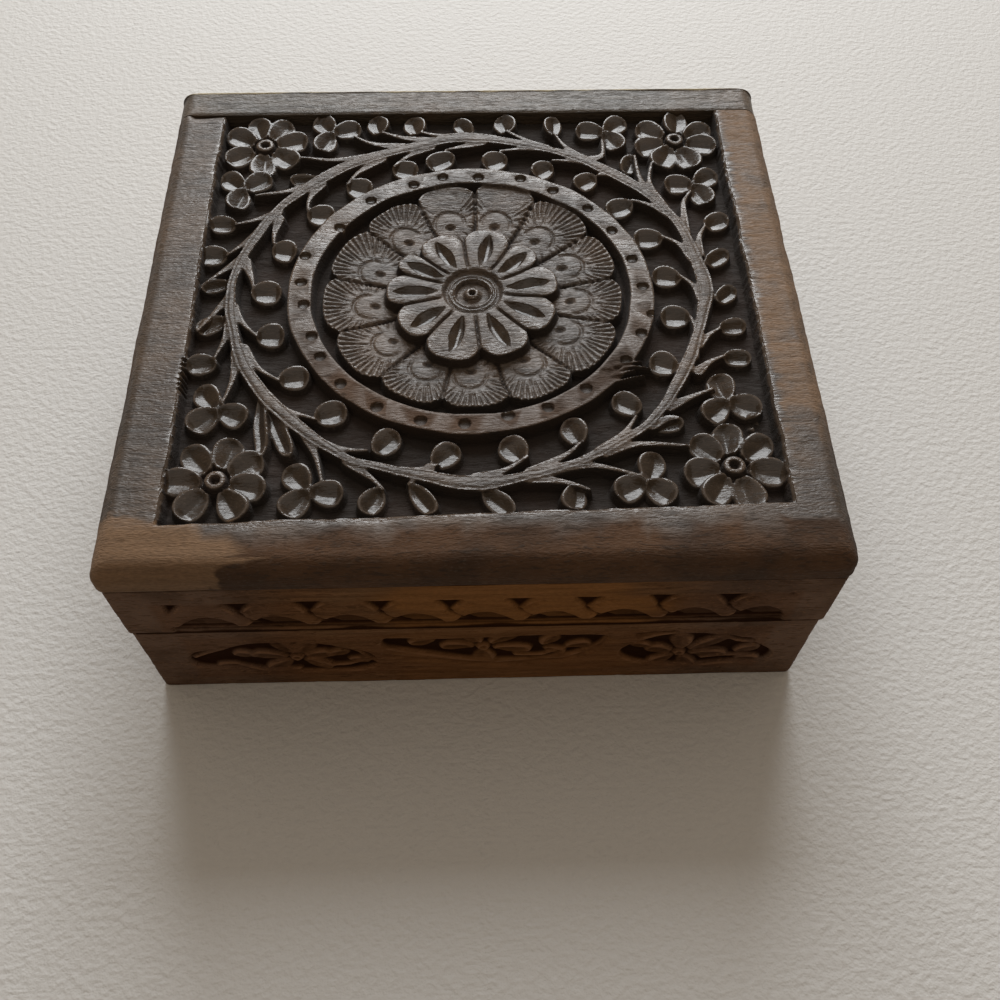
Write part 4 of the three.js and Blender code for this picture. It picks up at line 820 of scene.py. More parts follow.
def rounded_slab(carving, top, sizes, front_round):
    """A board whose top is the carved grid, with rounded edges and a radius of its own at the front.

    Its back is a flat face.
    """
    corner_points, edge_points, under_points = 17, 15, 6
    edge, under = sizes.edge_round, sizes.under_round
    low, high = sizes.slab_low, sizes.box_height
    rows, columns = carving.x.shape
    index = np.arange(rows * columns).reshape(rows, columns)
    fan = np.radians(np.linspace(0, 90, corner_points))[1:-1]
    left = [(i, -1.0, 0.0) for i in index[::-1, 0]]
    front = [(i, 0.0, -1.0) for i in index[0]]
    right = [(i, 1.0, 0.0) for i in index[:, -1]]
    corner_left = [(index[0, 0], -x, -y) for x, y in map(corner_way, fan)]
    corner_right = [(index[0, -1], y, -x) for x, y in map(corner_way, fan)]
    skirt = left + corner_left + front + corner_right + right
    starts = np.array([i for i, _, _ in skirt])
    way = np.array([(a, b) for _, a, b in skirt])
    points = np.stack([carving.x, carving.y, top], -1).reshape(-1, 3)
    ahead = np.abs(way[:, 1]) / np.abs(way).sum(1)
    rounding = edge + (front_round - edge) * ahead
    reach = np.array((edge, front_round))
    turn = np.radians(np.linspace(0, 90, edge_points))[1:]
    profile = [(math.sin(a), high - rounding * (1 - math.cos(a)), 0.0) for a in turn]
    foot = low + under + 0.3
    profile += [(1.0, foot + (high - rounding - foot) * share, 0.0) for share in (0.66, 0.33, 0.0)]
    profile += [(1.0, np.full(len(way), low + under * (1 - math.sin(a))), under * (1 - math.cos(a)))
                for a in np.radians(np.linspace(0, 90, under_points))]
    border = points[starts]
    outline = border[:, :2] + way * reach
    around = np.cumsum(np.hypot(*np.diff(outline, axis=0, prepend=outline[:1]).T))
    layers, height_off = [points], border[:, 2] - high
    deepest_wear = 0.22
    for out, z, tuck in profile:
        worn = 0.16 * drift(around, high - z, 9, 3, 21) + 0.09 * drift(around, high - z, 2.2, 1.2, 22)
        worn = (worn - deepest_wear) * np.clip(np.minimum(high - z, z - low) / 1.5 + 0.1, 0, 1)
        level = z + height_off * max(0.0, 1 - 3 * out)
        plan = border[:, :2] + way * (out * reach + (worn - tuck)[:, None])
        layers.append(np.column_stack([plan, level]))
    quads, polygons = [grid_quads(rows, columns)], []
    before, count = starts, len(points)
    for layer in layers[1:]:
        here = count + np.arange(len(layer))
        faces = np.stack([before[1:], before[:-1], here[:-1], here[1:]], -1)
        whole = before[1:] != before[:-1]
        quads.append(faces[whole])
        polygons += [face[1:] for face in faces[~whole]]
        before, count = here, count + len(layer)
    polygons.append(before[::-1])
    firsts = [count - (k + 1) * len(border) for k in range(len(profile))]
    polygons.append([*index[-1][::-1], *reversed(firsts), *[first + len(border) - 1 for first in firsts]])
    return np.concatenate(layers), np.concatenate(quads), polygons


def make_lid_panel(sizes, looks):
    """The carved top, with the marks that its wood reads."""
    carving = carve_field(sizes, grid_step(TOP_STEP))
    depth, high = sizes.field_depth, sizes.box_height
    carving.z = np.minimum(carving.z, depth - TOP_GAP)
    points, quads, polygons = rounded_slab(carving, high - depth + carving.z, sizes, sizes.edge_round)
    piece = add_object("carved_top", make_mesh("carved_top", points, quads, polygons))
    thinned(piece, MOST_IN_TOP)
    mesh = piece.data
    x, y, z = places(mesh).T
    left, right, front = sizes.field_left, sizes.field_right, sizes.field_front_left
    on_grid = (np.abs(x) < carving.xs[-1]) & (y > carving.ys[0])
    in_field = on_grid & (x > left - 1) & (x < right + 1) & (y > front - 1)
    # Painted shade: the deep mark darkens the steep flanks of the relief as well as the low ground, whose
    # dark colour is stain
    ground = np.maximum(ramp(1.3 - (z - high + depth), 0.8), carving.sample(carving.steep(), x, y))
    # The tone mark: painted shade in the cuts and a painted highlight on the raised edges, partly their wear
    mark(mesh, "tone", np.where(on_grid, carving.sample(carving.tone(0.6), x, y), 0))
    # The smooth mark: less rough cut faces, whose colour is darkened as painted shade in the hollows
    mark(mesh, "smooth", np.where(in_field, carving.sample(carving.cut, x, y), 0))
    mark(mesh, "deep", np.where(in_field, ground, 0))
    mark(mesh, "worn", worn_patch(x, y, z, high))
    # Rougher, darker wood: the rounded sides, the front border and the ring's near half. The darker brown is
    # partly a dull finish and partly painted shade, strongest towards the front; on the ring's near half it
    # is painted shade
    ring_middle, ring_reach = 38.5, 4
    sides = ramp(high - 0.8 - z, 2) * ~in_field
    near_ring = np.abs(np.hypot(x - sizes.ring_x, y - sizes.ring_y) - ring_middle) < ring_reach
    ring = 0.75 * ramp(14 - y, 40) * near_ring
    mark(mesh, "dull_and_shade", np.maximum(np.maximum(sides, ramp(front - 0.8 - y, 1.5)), ring))
    settle(piece, "lid", "lid_panel", looks["carved_top_wood"])


def worn_patch(x, y, z, high):
    """Where the finish is worn off: the lid's front left corner, its left edge and its right border.

    The numbers are places on the lid and the widths of soft edges, in millimetres.
    """
    ragged = 2.2 * drift(x, y + z, 4, 3, 23) + 1.2 * drift(x, y + z, 1.3, 1, 24)
    on_front = np.clip(-66 - y, 0, 99) + np.clip(high - z, 0, 99)
    reach = np.where(on_front > 0.6, -43.5 - 0.7 * on_front, -51.5 - 1.2 * (y + 61)) + ragged
    corner = ramp(reach - x, 1.6) * ramp(-58 - y + 0.6 * ragged, 1.6)
    left = 0.5 * ramp(-70.5 - x, 2) * ramp(drift(x, y, 9, 12, 25) + 0.1, 0.4)
    right = ramp(x - 63.4, 0.6) * ramp(y + 52 + 3 * ragged, 25) * (0.62 + 0.12 * ragged)
    return np.maximum(np.maximum(corner, left * 0.5), right)


def make_back_strip(sizes, looks):
    """The strip: shaped as a front board and then turned half round."""
    reach_x, _ = top_flat_reach(sizes)
    back_round, high = sizes.back_edge_round, sizes.box_height
    carving = Carving(-reach_x, reach_x, back_round - sizes.box_depth / 2, -sizes.strip_front,
                      grid_step(STRIP_STEP), seed=41)
    ripple = 0.06 * drift(carving.x, carving.y, 6, 0.8, 42) + 0.1 * drift(carving.x, carving.y, 15, 6, 43)
    edge = 0.35 * fade(carving.ys[-1] - carving.y, 0.6) ** 2
    points, quads, polygons = rounded_slab(carving, high - STRIP_GAP + ripple - edge, sizes, back_round)
    points[:, :2] *= -1
    piece = add_object("back_strip", make_mesh("back_strip", points, quads, polygons))
    thinned(piece, MOST_IN_STRIP)
    x, y, z = places(piece.data).T
    # Painted highlight: the worn mark paints a thin pale line along the strip's back top edge
    rim = 0.3 * drift(x, z, 5, 2, 44)
    mark(piece.data, "worn", ramp(y - 70.3 + rim, 0.4) * ramp(z - 55.4, 0.5))
    settle(piece, "lid", "lid_back_strip", looks["strip_wood"])


def carve_ribbon(sizes, half, share, step, seed):
    """The lid's band: a ribbon in arches, with dark notches over its dips and a lens cut under each arch."""
    low, high, depth = sizes.lid_low, sizes.slab_low - 0.1, sizes.ribbon_depth
    carving = Carving(-half, half, low, high, step, seed, wander=0.2)
    carving.z[:] = depth
    band_low, band_high = sizes.ribbon_low, sizes.ribbon_high
    notch, lens = sizes.notch_drop, sizes.lens_rise
    dips = np.array(RIBBON_DIPS) * share
    ends = dips[0], dips[-1] - 1.9 * share
    place = np.clip(np.searchsorted(dips, carving.u) - 1, 0, len(dips) - 2)
    t = ramp(carving.u - dips[place], dips[place + 1] - dips[place])
    over = band_high - notch * (1 - ramp(np.minimum(t, 1 - t), 0.24)) ** 1.25
    under = band_low + 0.3 + lens * np.clip(np.sin(math.pi * t) * 1.25 - 0.25, 0, 1) ** 0.9
    within = np.minimum(carving.u - ends[0], ends[1] - carving.u)
    above = np.minimum(carving.v - over, band_high - carving.v)
    below = np.minimum(under - carving.v, carving.v - band_low)
    wall = 0.3
    for gap, share_cut in ((above, 1.0), (below, 0.62)):
        carving.z -= share_cut * depth * ramp(np.minimum(gap, within), wall)
    ribbon = (carving.v > under) & (carving.v < over) & (within > 0)
    height = (carving.v - under) / np.maximum(over - under, 0.5)
    for line in (0.34, 0.68):
        scribed = fade(np.abs(height - line), 0.06)
        carving.z -= 0.14 * scribed * ribbon * np.clip(np.sin(math.pi * t) * 2, 0, 1)
    for dip in dips[1:-1]:
        # Beside each notch: a long cut down to the ribbon's foot and a short one under its shoulder
        long_cut = ((dip - 0.4, band_high - notch + 0.2), (dip + 1.6, band_low + 3.2),
                    (dip + 5.2, band_low + 0.5))
        short_cut = ((dip + 0.3, band_high - notch - 0.6), (dip + 2.6, band_high - 2.9),
                     (dip + 5, band_high - 1.5))
        for cut, cut_depth in ((long_cut, 1.0), (short_cut, 0.5)):
            carving.groove([(*point, 0.1) for point in cut], cut_depth)
    for line in (band_low - 0.1, band_low - 1.2):
        carving.groove([(end, line, 0.2) for end in (ends[0], 0, ends[1])], 1.1, reach=0.34)
    return roughened(carving, seed, depth)


def carve_flower_band(sizes, half, share, step, seed):
    """The base's band: flowers and leaves in long hollows under their stems."""
    depth = sizes.flower_band_depth
    carving = Carving(-half, half, 0.0, sizes.rim_height, step, seed, wander=0.3)
    carving.z[:] = depth
    for hollow in BAND_HOLLOWS:
        carving.hollow(straightened(hollow, share), 0.0)
    ground = 0.22 * drift(carving.x, carving.y, 1.8, 1.4, seed + 2)
    carving.z = np.maximum(carving.z, ground)
    for stem in BAND_STEMS:
        line = straightened(stem, share)
        carving.band(line, 0.8 * depth, wall=0.4, crown=0.3)
        carving.groove(line + (-0.2, -1.2, -0.9), 0.6, reach=0.35)
    for x, y, way, length, width in BAND_LEAVES:
        (x, y), = straightened([(x, y)], share)
        carving.leaf(x, y, way, length, width, height=0.95 * depth, hollow=0.55 * depth, wall=0.5)
    for eye, *petals in BAND_FLOWERS:
        (x, y), = straightened([eye], share)
        for petal in petals:
            (px, py), = straightened([petal], share)
            way = math.degrees(math.atan2(py - y, px - x))
            carving.leaf(px, py, way, length=1.25 * math.hypot(px - x, py - y), width=4.6,
                         height=depth, hollow=0.6 * depth, wall=0.5, swell=0.25)
        # The eye: a drilled button in a narrow moat
        hole, button, moat = 0.6, 1.6, 2.1
        out = carving.distance(..., x, y)
        top = depth - np.where(out < hole, 0.9, 0) - 0.3 * ramp(out - 1.2, 0.4)
        carving.z = np.where(out < button, top, np.where(out < moat, 0.4 * carving.z, carving.z))
    return roughened(carving, seed, depth)


def roughened(carving, seed, depth):
    """Softens the cuts and adds the grain and the dents of use."""
    x, y = carving.x, carving.y
    grain = 0.05 * drift(x, y, 7, 0.5, seed + 3) + 0.09 * drift(x, y, 14, 5, seed + 4)
    dents = 0.12 * np.clip(drift(x, y, 2.5, 1.2, seed + 5) - 0.55, 0, 1) / 0.45
    carving.z = softened(carving.z) + grain - dents - 0.1
    carving.z = np.clip(carving.z, -0.35, depth)
    return carving


def carved_wall(carving, sizes, wall):
    """A wall as a closed board: its outer face carved, its ends lapped, its foot cut away for the board.

    Each column of points is its place along the wall and inwards from its face, then its way out.
    """
    half, thickness, seat, lip = wall["half"], wall["thickness"], wall["seat"], wall["lip"]
    depth, low, high = wall["depth"], carving.ys[0], carving.ys[-1]
    levels = list(carving.ys)
    step_level = wall.get("board_level")
    if step_level:
        levels = [z for z in levels if abs(z - step_level) > 0.1] + [step_level, step_level]
        levels.sort()
    levels = np.array(levels)
    corner = wall["corner"]
    columns = [(s, 0.0, 0.0, -1.0) for s in carving.xs]
    corner_points, lap_points = 7, 5
    arc = np.radians(np.linspace(0, 90, corner_points))[1:]
    right = [(half - corner + corner * math.sin(a), corner - corner * math.cos(a), math.sin(a), -math.cos(a))
             for a in arc]
    if seat:
        right += [(half, d, 1.0, 0.0) for d in np.linspace(corner, seat, lap_points)[1:]]
        right += [(lip, seat, 0.0, 0.0)]
    else:
        right += [(half, thickness / 2, 1.0, 0.0)]
    right += [(lip if seat else half, thickness, 0.0, 0.0)]
    columns += right + [(-s, d, -a, b) for s, d, a, b in reversed(right)]
    s, d, out_s, out_d = np.array(columns).T
    on_inner_face = d > thickness - 0.01
    grid_s, grid_z = np.meshgrid(s, levels)
    relief = depth - carving.sample(carving.z, np.clip(grid_s, carving.xs[0], carving.xs[-1]), grid_z)
    relief = relief * np.where((out_d < 0) | (out_s != 0), 1, 0) * fade(d, seat or thickness)
    round_off = sizes.wall_edge
    near_edge = np.clip(round_off - np.minimum(grid_z - low, high - grid_z), 0, round_off)
    inset = relief + round_off - np.sqrt(round_off ** 2 - near_edge ** 2)
    across = grid_s - out_s * inset
    inward = d - out_d * inset
    if step_level:
        below = np.arange(len(levels)) <= np.flatnonzero(levels == step_level)[0]
        inward = np.where(below[:, None] & on_inner_face, wall["foot"], inward)
    points = np.stack([across, inward, grid_z], -1)
    foot_round = wall.get("foot_round", 0.0)
    if foot_round:
        gap_s, gap_z = points[..., 0] - (half - foot_round), foot_round - (points[..., 2] - low)
        reach = np.hypot(gap_s, gap_z)
        over = (gap_s > 0) & (gap_z > 0) & (reach > foot_round)
        pull = np.where(over, foot_round / np.maximum(reach, 0.01), 1)
        points[..., 0] = np.where(over, half - foot_round + gap_s * pull, points[..., 0])
        points[..., 2] = np.where(over, low + foot_round - gap_z * pull, points[..., 2])
    rows, count = points.shape[:2]
    index = np.arange(rows * count).reshape(rows, count)
    after = np.roll(index, -1, axis=1)
    quads = np.stack([index[:-1], after[:-1], after[1:], index[1:]], -1).reshape(-1, 4)
    return points.reshape(-1, 3), quads, [index[0][::-1], index[-1]]


def make_wall(name, body, turns, carving, wall, sizes, looks):
    """A finished wall, a number of quarter turns from the front."""
    points, quads, polygons = carved_wall(carving, sizes, wall)
    across, out = points[:, 0].copy(), points[:, 1] - wall["out"]
    quarter = turns * math.pi / 2
    c, s = round(math.cos(quarter)), round(math.sin(quarter))
    points[:, 0], points[:, 1] = across * c - out * s, across * s + out * c
    mesh = make_mesh(name, points, quads, polygons)
    tidy_mesh(mesh)
    piece = add_object(name, mesh)
    x, y, z = places(mesh).T
    along, inward = x * c + y * s, y * c - x * s + wall["out"]
    outer = (inward < wall["depth"] + 0.6) & (np.abs(along) <= carving.xs[-1])
    sunk = 1 - carving.sample(carving.z, along, z) / wall["depth"]
    # Painted shade: a dark line along the gaps where the lid meets the base and its top board
    parting = ramp(0.75 - np.minimum(z - carving.ys[0], carving.ys[-1] - z), 0.4) * (z > 1)
    stain_low, stain_high, stain_reach = wall["stain"]
    stained = np.minimum(np.minimum(z - stain_low, stain_high - z), stain_reach - np.abs(along))
    wide_seed, fine_seed = wall["wear_seeds"]
    uneven = 9 * drift(along, z, 12, 4, wide_seed) + 3 * drift(along, z, 3, 1, fine_seed)
    rubbed = ramp(38 + uneven - np.abs(along - 6), 18) * outer * wall["rubbed"]
    # The tone mark: painted shade in the cuts and a painted highlight on the raised edges, partly their wear
    mark(mesh, "tone", np.where(outer, carving.sample(carving.tone(1.0), along, z), 0))
    # The deep mark: stain in the carved pockets, and painted shade in the gaps along the sides
    mark(mesh, "deep", np.where(outer, np.maximum(ramp(sunk - 0.3, 0.7), parting), 0))
    mark(mesh, "dull_and_shade", 1 - ramp(52 - np.abs(along), 20))
    mark(mesh, "stain", np.clip(stained / 1.5 + 0.5, 0, 1) * outer)
    mark(mesh, "worn", rubbed)
    mesh.shade_smooth()
    mesh.set_sharp_from_angle(angle=math.radians(SHARP_ON_SIDES))
    slot = name.split("_")[1] + "_wood"
    settle(piece, body, body + "_" + name, looks["side_" + slot if turns else slot])


def tidy_mesh(mesh):
    """Joins the points that lie on each other, so that no face has lost its area."""
    shape = bmesh.new()
    shape.from_mesh(mesh)
    bmesh.ops.remove_doubles(shape, verts=shape.verts, dist=SAME_PLACE)
    shape.to_mesh(mesh)
    shape.free()


def make_sides(body, kind, sides, carve, room, thick, depth, stain, shared, front_only, sizes, looks):
    """The front and the short sides of the lid or the base; the short ones lie in the front's laps."""
    half, out = sizes.box_width / 2 - room, sizes.box_depth / 2 - room
    seat = thick - sizes.corner_lap
    front = {"half": half, "thickness": thick, "seat": seat, "lip": half - thick, "out": out,
             "corner": sizes.wall_corner, **front_only}
    short = {"half": out - seat - LAP_ROOM, "thickness": thick - LAP_ROOM, "seat": 0, "lip": 0, "out": half,
             "corner": SHORT_SIDE_CORNER, "rubbed": 0}
    *stain_heights, front_stain, short_stain = stain
    for side, turns, seed, wear_seeds in sides:
        wall = {**(short if turns else front), **shared, "depth": depth, "wear_seeds": wear_seeds,
                "stain": (*stain_heights, short_stain if turns else front_stain)}
        carving = carve(sizes, wall["half"] - wall["corner"], out / half if turns else 1.0,
                        grid_step(SIDE_STEP), seed)
        make_wall(side + "_" + kind, body, turns, carving, wall, sizes, looks)


def make_rails(sizes, looks):
    """The lid's sides with their ribbon band."""
    make_sides("lid", "rail", LID_SIDES, carve_ribbon, LID_ROOM, sizes.rail_thickness,
               sizes.ribbon_depth, LID_STAIN, {}, {"rubbed": 0.7}, sizes, looks)


def make_walls(sizes, looks):
    """The base's sides with their flower band and the rebate of the bottom board."""
    thick = sizes.rail_thickness - THINNER
    rebate = {"board_level": sizes.board_level, "foot": thick - REBATE}
    make_sides("base", "wall", BASE_SIDES, carve_flower_band, BASE_ROOM, thick, sizes.flower_band_depth,
               BASE_STAIN, rebate, {"rubbed": 0.35, "foot_round": FOOT_ROUND}, sizes, looks)


def wood(name, plain, deep, warm, bare, dull_and_shade_colour, grain, roughness, shine=0.5):
    """Waxed hardwood: streaks along the grain, wavy fibres, painted shade in the cuts and hollows, polished
    edges with a painted highlight, and worn places.

    The colours are those of the plain wood; of its dark ground, which also paints the shade in its cuts,
    on its steep flanks and in its gaps; of its warm clouds; of its bare places, which on the strip paint a
    highlight along the back edge; and of its dull places, which on the lid's top carry painted shade
    towards the front. Grain is the axis that the grain follows.
    """
    finish = Finish(name)
    place = finish.place()
    long, short, fine = [1.3] * 3, [0.75] * 3, [0.4] * 3
    long[grain], short[grain], fine[grain] = 16, 3.6, 1.0
    streak = finish.noise(place, long, 4, 0.6)
    fibre = finish.noise(place, short, 2, 0.6, 1.2)
    speck = finish.noise(place, fine, 1, 0.5)
    cloud = finish.noise(place, (15, 15, 15), 3)
    tone, depth, smooth = finish.marked("tone"), finish.marked("deep"), finish.marked("smooth")
    worn, dull_and_shade, stain = finish.marked("worn"), finish.marked("dull_and_shade"), finish.marked("stain")
    colour = finish.mix(streak.within(0.3, 0.72), shaded(plain, 0.7), shaded(plain, 1.3))
    colour = finish.mix(cloud.within(0.4, 0.72) * 0.3, colour, warm)
    # Dull wood: on the sides the ends' own duller colour; on the lid's top a darker brown that is partly a
    # dull finish and partly painted shade towards the front
    brown = finish.mix(cloud.within(0.35, 0.65), shaded(dull_and_shade_colour, 0.7), shaded(dull_and_shade_colour, 1.3))
    colour = finish.mix(dull_and_shade.within(0, 1) ** 1.5 * 0.85, colour, brown)
    colour = finish.mix(stain * 0.35, colour, [0.7 * plain[0], 0.55 * plain[1], 0.4 * plain[2]])
    # Painted shade: the smooth cut faces, mostly the hollows of leaves, petals and gouges, are darkened
    colour = finish.mix(smooth * 0.6, colour, shaded(plain, 0.4))
    colour = finish.mix(fibre.within(0.5, 0.7) * 0.6, colour, shaded(plain, 0.35))
    colour = finish.mix((0.5 - speck).within(0.05, 0.25) * 0.3, colour, shaded(plain, 1.8))
    # Painted shade: the cuts are darkened towards the deep colour
    colour = finish.mix((0 - tone).within(0.15, 0.9) * 0.3, colour, shaded(deep, 0.6))
    # Painted highlight along the raised edges, partly the wear of the edges
    edge = tone.within(0.35, 0.8) * (1 - depth.within(0.2, 0.8))
    colour = finish.mix(edge * 0.3, colour, [min(1.0, 2.2 * c + 0.02) for c in plain])
    rubbed = finish.mix(streak + speck * 0.8 - 0.4, shaded(bare, 0.55), shaded(bare, 1.5))
    colour = finish.mix(worn.within(0.1, 0.8) * 0.85, colour, rubbed)
    # The dark ground and the stained pockets, and painted shade on the lid's steep flanks and in the gaps
    # along the sides
    colour = finish.mix(depth.within(0.1, 0.9) * 0.94, colour, finish.mix(
        cloud.within(0.45, 0.62) * 0.3, deep, [1.7 * deep[0], 1.2 * deep[1], deep[2]]))
    polish = edge * 0.3 + smooth * 0.25
    rough = roughness + fibre.within(0.4, 0.7) * 0.22 + depth * 0.45 + worn * 0.3 + dull_and_shade * 0.5 - polish
    bump = (streak * 0.4 + fibre * 0.6 + speck * 0.35) * (1 - smooth * 0.75)
    return finish.surface(colour, rough, bump, 0.36, shine=shine)


def metal(name, bright, dull_share, roughness):
    """Aged metal: dull patches and fine scratches."""
    finish = Finish(name)
    place = finish.place()
    patch = finish.noise(place, (3, 3, 3), 4, 0.6).within(0.38, 0.66)
    scratch = finish.noise(place, (6, 0.12, 0.12), 2)
    colour = finish.mix(patch, bright, shaded(bright, dull_share))
    rough = roughness + patch * 0.22 + scratch * 0.1
    return finish.surface(colour, rough, scratch * 0.5 + patch * 0.3, 0.03, metallic=1.0)


def all_looks(colours):
    """Every finish of the box, by the slot that it stands for."""
    ground, warm, along_x, along_y = colours.field_ground, colours.worn_wood, 0, 1
    woods = [
        ("carved_top_wood", colours.top_wood, ground, warm, warm, colours.dull_and_shaded_top, along_x, 0.42),
        ("strip_wood", colours.strip_wood, ground, warm, colours.strip_edge_highlight, warm, along_x, 0.45),
        ("board_wood", colours.board_wood, ground, warm, warm, warm, along_x, 0.7),
    ]
    for slot, plain in (("rail_wood", colours.rail_wood), ("wall_wood", colours.wall_wood)):
        woods += [(start + slot, plain, colours.band_ground, colours.side_warm, colours.rubbed_wood,
                   colours.aged_sides, grain, 0.75, 0.04)
                  for start, grain in (("", along_x), ("side_", along_y))]
    metals = (("hinge_brass", colours.brass, 0.4, 0.3), ("hinge_pin_steel", colours.steel, 0.5, 0.35),
              ("screw_brass", colours.brass, 0.45, 0.28))
    return {name: make(name, *values) for make, rows in ((wood, woods), (metal, metals))
            for name, *values in rows}


def length(name, default, description):
    """A length of the box as a property."""
    return bpy.props.FloatProperty(name=name, description=description, default=default, unit="LENGTH",
                                   precision=5)


def colour(name, default, description):
    """A colour of the box as a property."""
    return bpy.props.FloatVectorProperty(name=name, description=description, default=default, subtype="COLOR",
                                         size=3, min=0, max=1)


low_corner, high_corner = packed_bounds
panel_low, panel_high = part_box("lid_panel")
strip_low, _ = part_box("lid_back_strip")
rail_low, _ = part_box("lid_front_rail")
_, wall_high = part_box("base_front_wall")


class TrinketBoxSizes(bpy.types.PropertyGroup):
    """Lengths of the box and of its carving."""
    box_width: length("Box width", high_corner.x - low_corner.x, "Width of the lid from left to right")
    box_depth: length("Box depth", 0.1425, "Depth of the lid from front to back")
    box_height: length("Box height", high_corner.z, "Height of the shut box")
    slab_low: length("Underside of the top", panel_low.z, "Height of the underside of the lid's top board")
    panel_back: length("Back of the panel", panel_high.y, "Where the carved panel ends at the back")
    strip_front: length("Front of the strip", strip_low.y, "Where the back strip starts")
    edge_round: length("Edge round", 0.0049, "Radius of the lid's upper edges")
    back_edge_round: length("Back edge round", 0.001, "Radius of the strip's upper back edge")
    under_round: length("Under round", 0.0012, "Radius of the lid's lower edges")
    lid_low: length("Foot of the lid", rail_low.z, "Height of the lid rails' lower faces")
    rim_height: length("Rim of the base", wall_high.z, "Height of the base walls")
    rail_thickness: length("Rail thickness", 0.0095, "Thickness of the lid rails")
    corner_lap: length("Corner lap", 0.0045, "How deep the side walls lie in the long walls")
    wall_corner: length("Corner round", 0.0015, "Radius of the upright corners")
    wall_edge: length("Wall edge round", 0.0004, "Radius of the walls' upper and lower edges")
    board_level: length("Board level", 0.0047, "Height of the rebate that the bottom board lies in")
    field_depth: length("Field depth", 0.004, "How deep the carved field is sunk")
    field_left: length("Left of the field", -0.0622, "Where the carved field starts")
    field_right: length("Right of the field", 0.063, "Where the carved field ends")
    field_front_left: length("Front left of the field", -0.05975, "The field's front edge at its left end")
    field_front_right: length("Front right of the field", -0.05725, "The field's front edge at its right end")
    stem_height: length("Stem height", 0.0031, "Height of the thin stems over the ground")
    vine_height: length("Vine height", 0.00335, "Height of the closed vine over the ground")
    leaf_height: length("Leaf height", 0.0033, "Height of the leaves over the ground")
    leaf_hollow: length("Leaf hollow", 0.0017, "Depth of the hollow in each leaf")
    rosette_x: length("Rosette place across", 0.0, "Middle of the rosette")
    rosette_y: length("Rosette place along", 0.0011, "Middle of the rosette")
    rosette_height: length("Rosette rim", 0.00275, "Height of the rosette's rim over the ground")
    rosette_bowl: length("Rosette bowl", 0.00125, "Height of the rosette's bowl over the ground")
    flower_x: length("Flower place across", 0.0, "Middle of the central flower")
    flower_y: length("Flower place along", 0.0004, "Middle of the central flower")
    flower_height: length("Flower height", 0.00385, "Height of the central flower over the ground")
    ring_x: length("Ring place across", -0.0003, "Middle of the ring")
    ring_y: length("Ring place along", 0.0008, "Middle of the ring")
    ring_radius: length("Ring radius", 0.0415, "Outer radius of the ring")
    ring_width: length("Ring width", 0.0055, "Width of the ring")
    ring_height: length("Ring height", 0.00375, "Height of the ring over the ground")
    ribbon_depth: length("Ribbon depth", 0.0013, "Depth of the ribbon band on the lid")
    ribbon_low: length("Foot of the ribbon", 0.0313, "Height of the ribbon band's lower edge")
    ribbon_high: length("Top of the ribbon", 0.042, "Height of the ribbon band's upper edge")
    notch_drop: length("Ribbon notch", 0.0053, "How far the notches reach down into the ribbon band")
    lens_rise: length("Ribbon lens", 0.0044, "How far the cuts under the arches reach up")
    flower_band_depth: length("Flower band depth", 0.0014, "Depth of the flower band on the base")
    ring_squash: bpy.props.FloatProperty(name="Ring squash", default=0.972, min=0.5, max=1.5,
                                         description="Depth of the ring as a share of its width")


class TrinketBoxColours(bpy.types.PropertyGroup):
    """Colours of the woods and metals."""
    top_wood: colour("Carved top", (0.064, 0.047, 0.036), "Waxed top of the lid")
    strip_wood: colour("Back strip", (0.075, 0.06, 0.046), "Strip behind the carved field")
    rail_wood: colour("Lid rails", (0.165, 0.085, 0.042), "Sides of the lid")
    wall_wood: colour("Base walls", (0.165, 0.086, 0.044), "Sides of the base")
    board_wood: colour("Bottom board", (0.2, 0.13, 0.075), "Bare board inside the base")
    # The ground colours also paint the shade in the cuts, on the lid's steep flanks and in the gaps along the
    # sides
    field_ground: colour("Ground", (0.021, 0.0155, 0.013), "Ground of the carved field")
    band_ground: colour("Ground of the bands", (0.02, 0.008, 0.003), "Hollows of the front and side bands")
    # Painted highlight: the pale line along the strip's back top edge
    strip_edge_highlight: colour("Bright edge", (0.5, 0.43, 0.28), "Painted highlight along the strip's back edge")
    # Painted shade, partly a dull finish: the darker brown of the lid's front border, rounded sides and the
    # ring's near half
    dull_and_shaded_top: colour("Dull and shaded edge of the lid", (0.06, 0.026, 0.009), "Dull wood round the lid's outer edge, with painted shade towards the front")
    aged_sides: colour("Dry ends of the sides", (0.13, 0.088, 0.068), "Dull wood towards the corners")
    side_warm: colour("Warm sides", (0.2, 0.125, 0.065), "Lighter patches on the sides")
    rubbed_wood: colour("Rubbed sides", (0.24, 0.112, 0.04), "Wood where hands have rubbed the sides")
    worn_wood: colour("Worn wood", (0.19, 0.115, 0.065), "Wood where the finish is rubbed off")
    brass: colour("Brass", (0.6, 0.42, 0.16), "Hinge leaves and screws")
    steel: colour("Steel", (0.45, 0.42, 0.38), "Hinge pins")
    floor: colour("Floor", (0.62, 0.61, 0.595), "Floor that the box stands on")


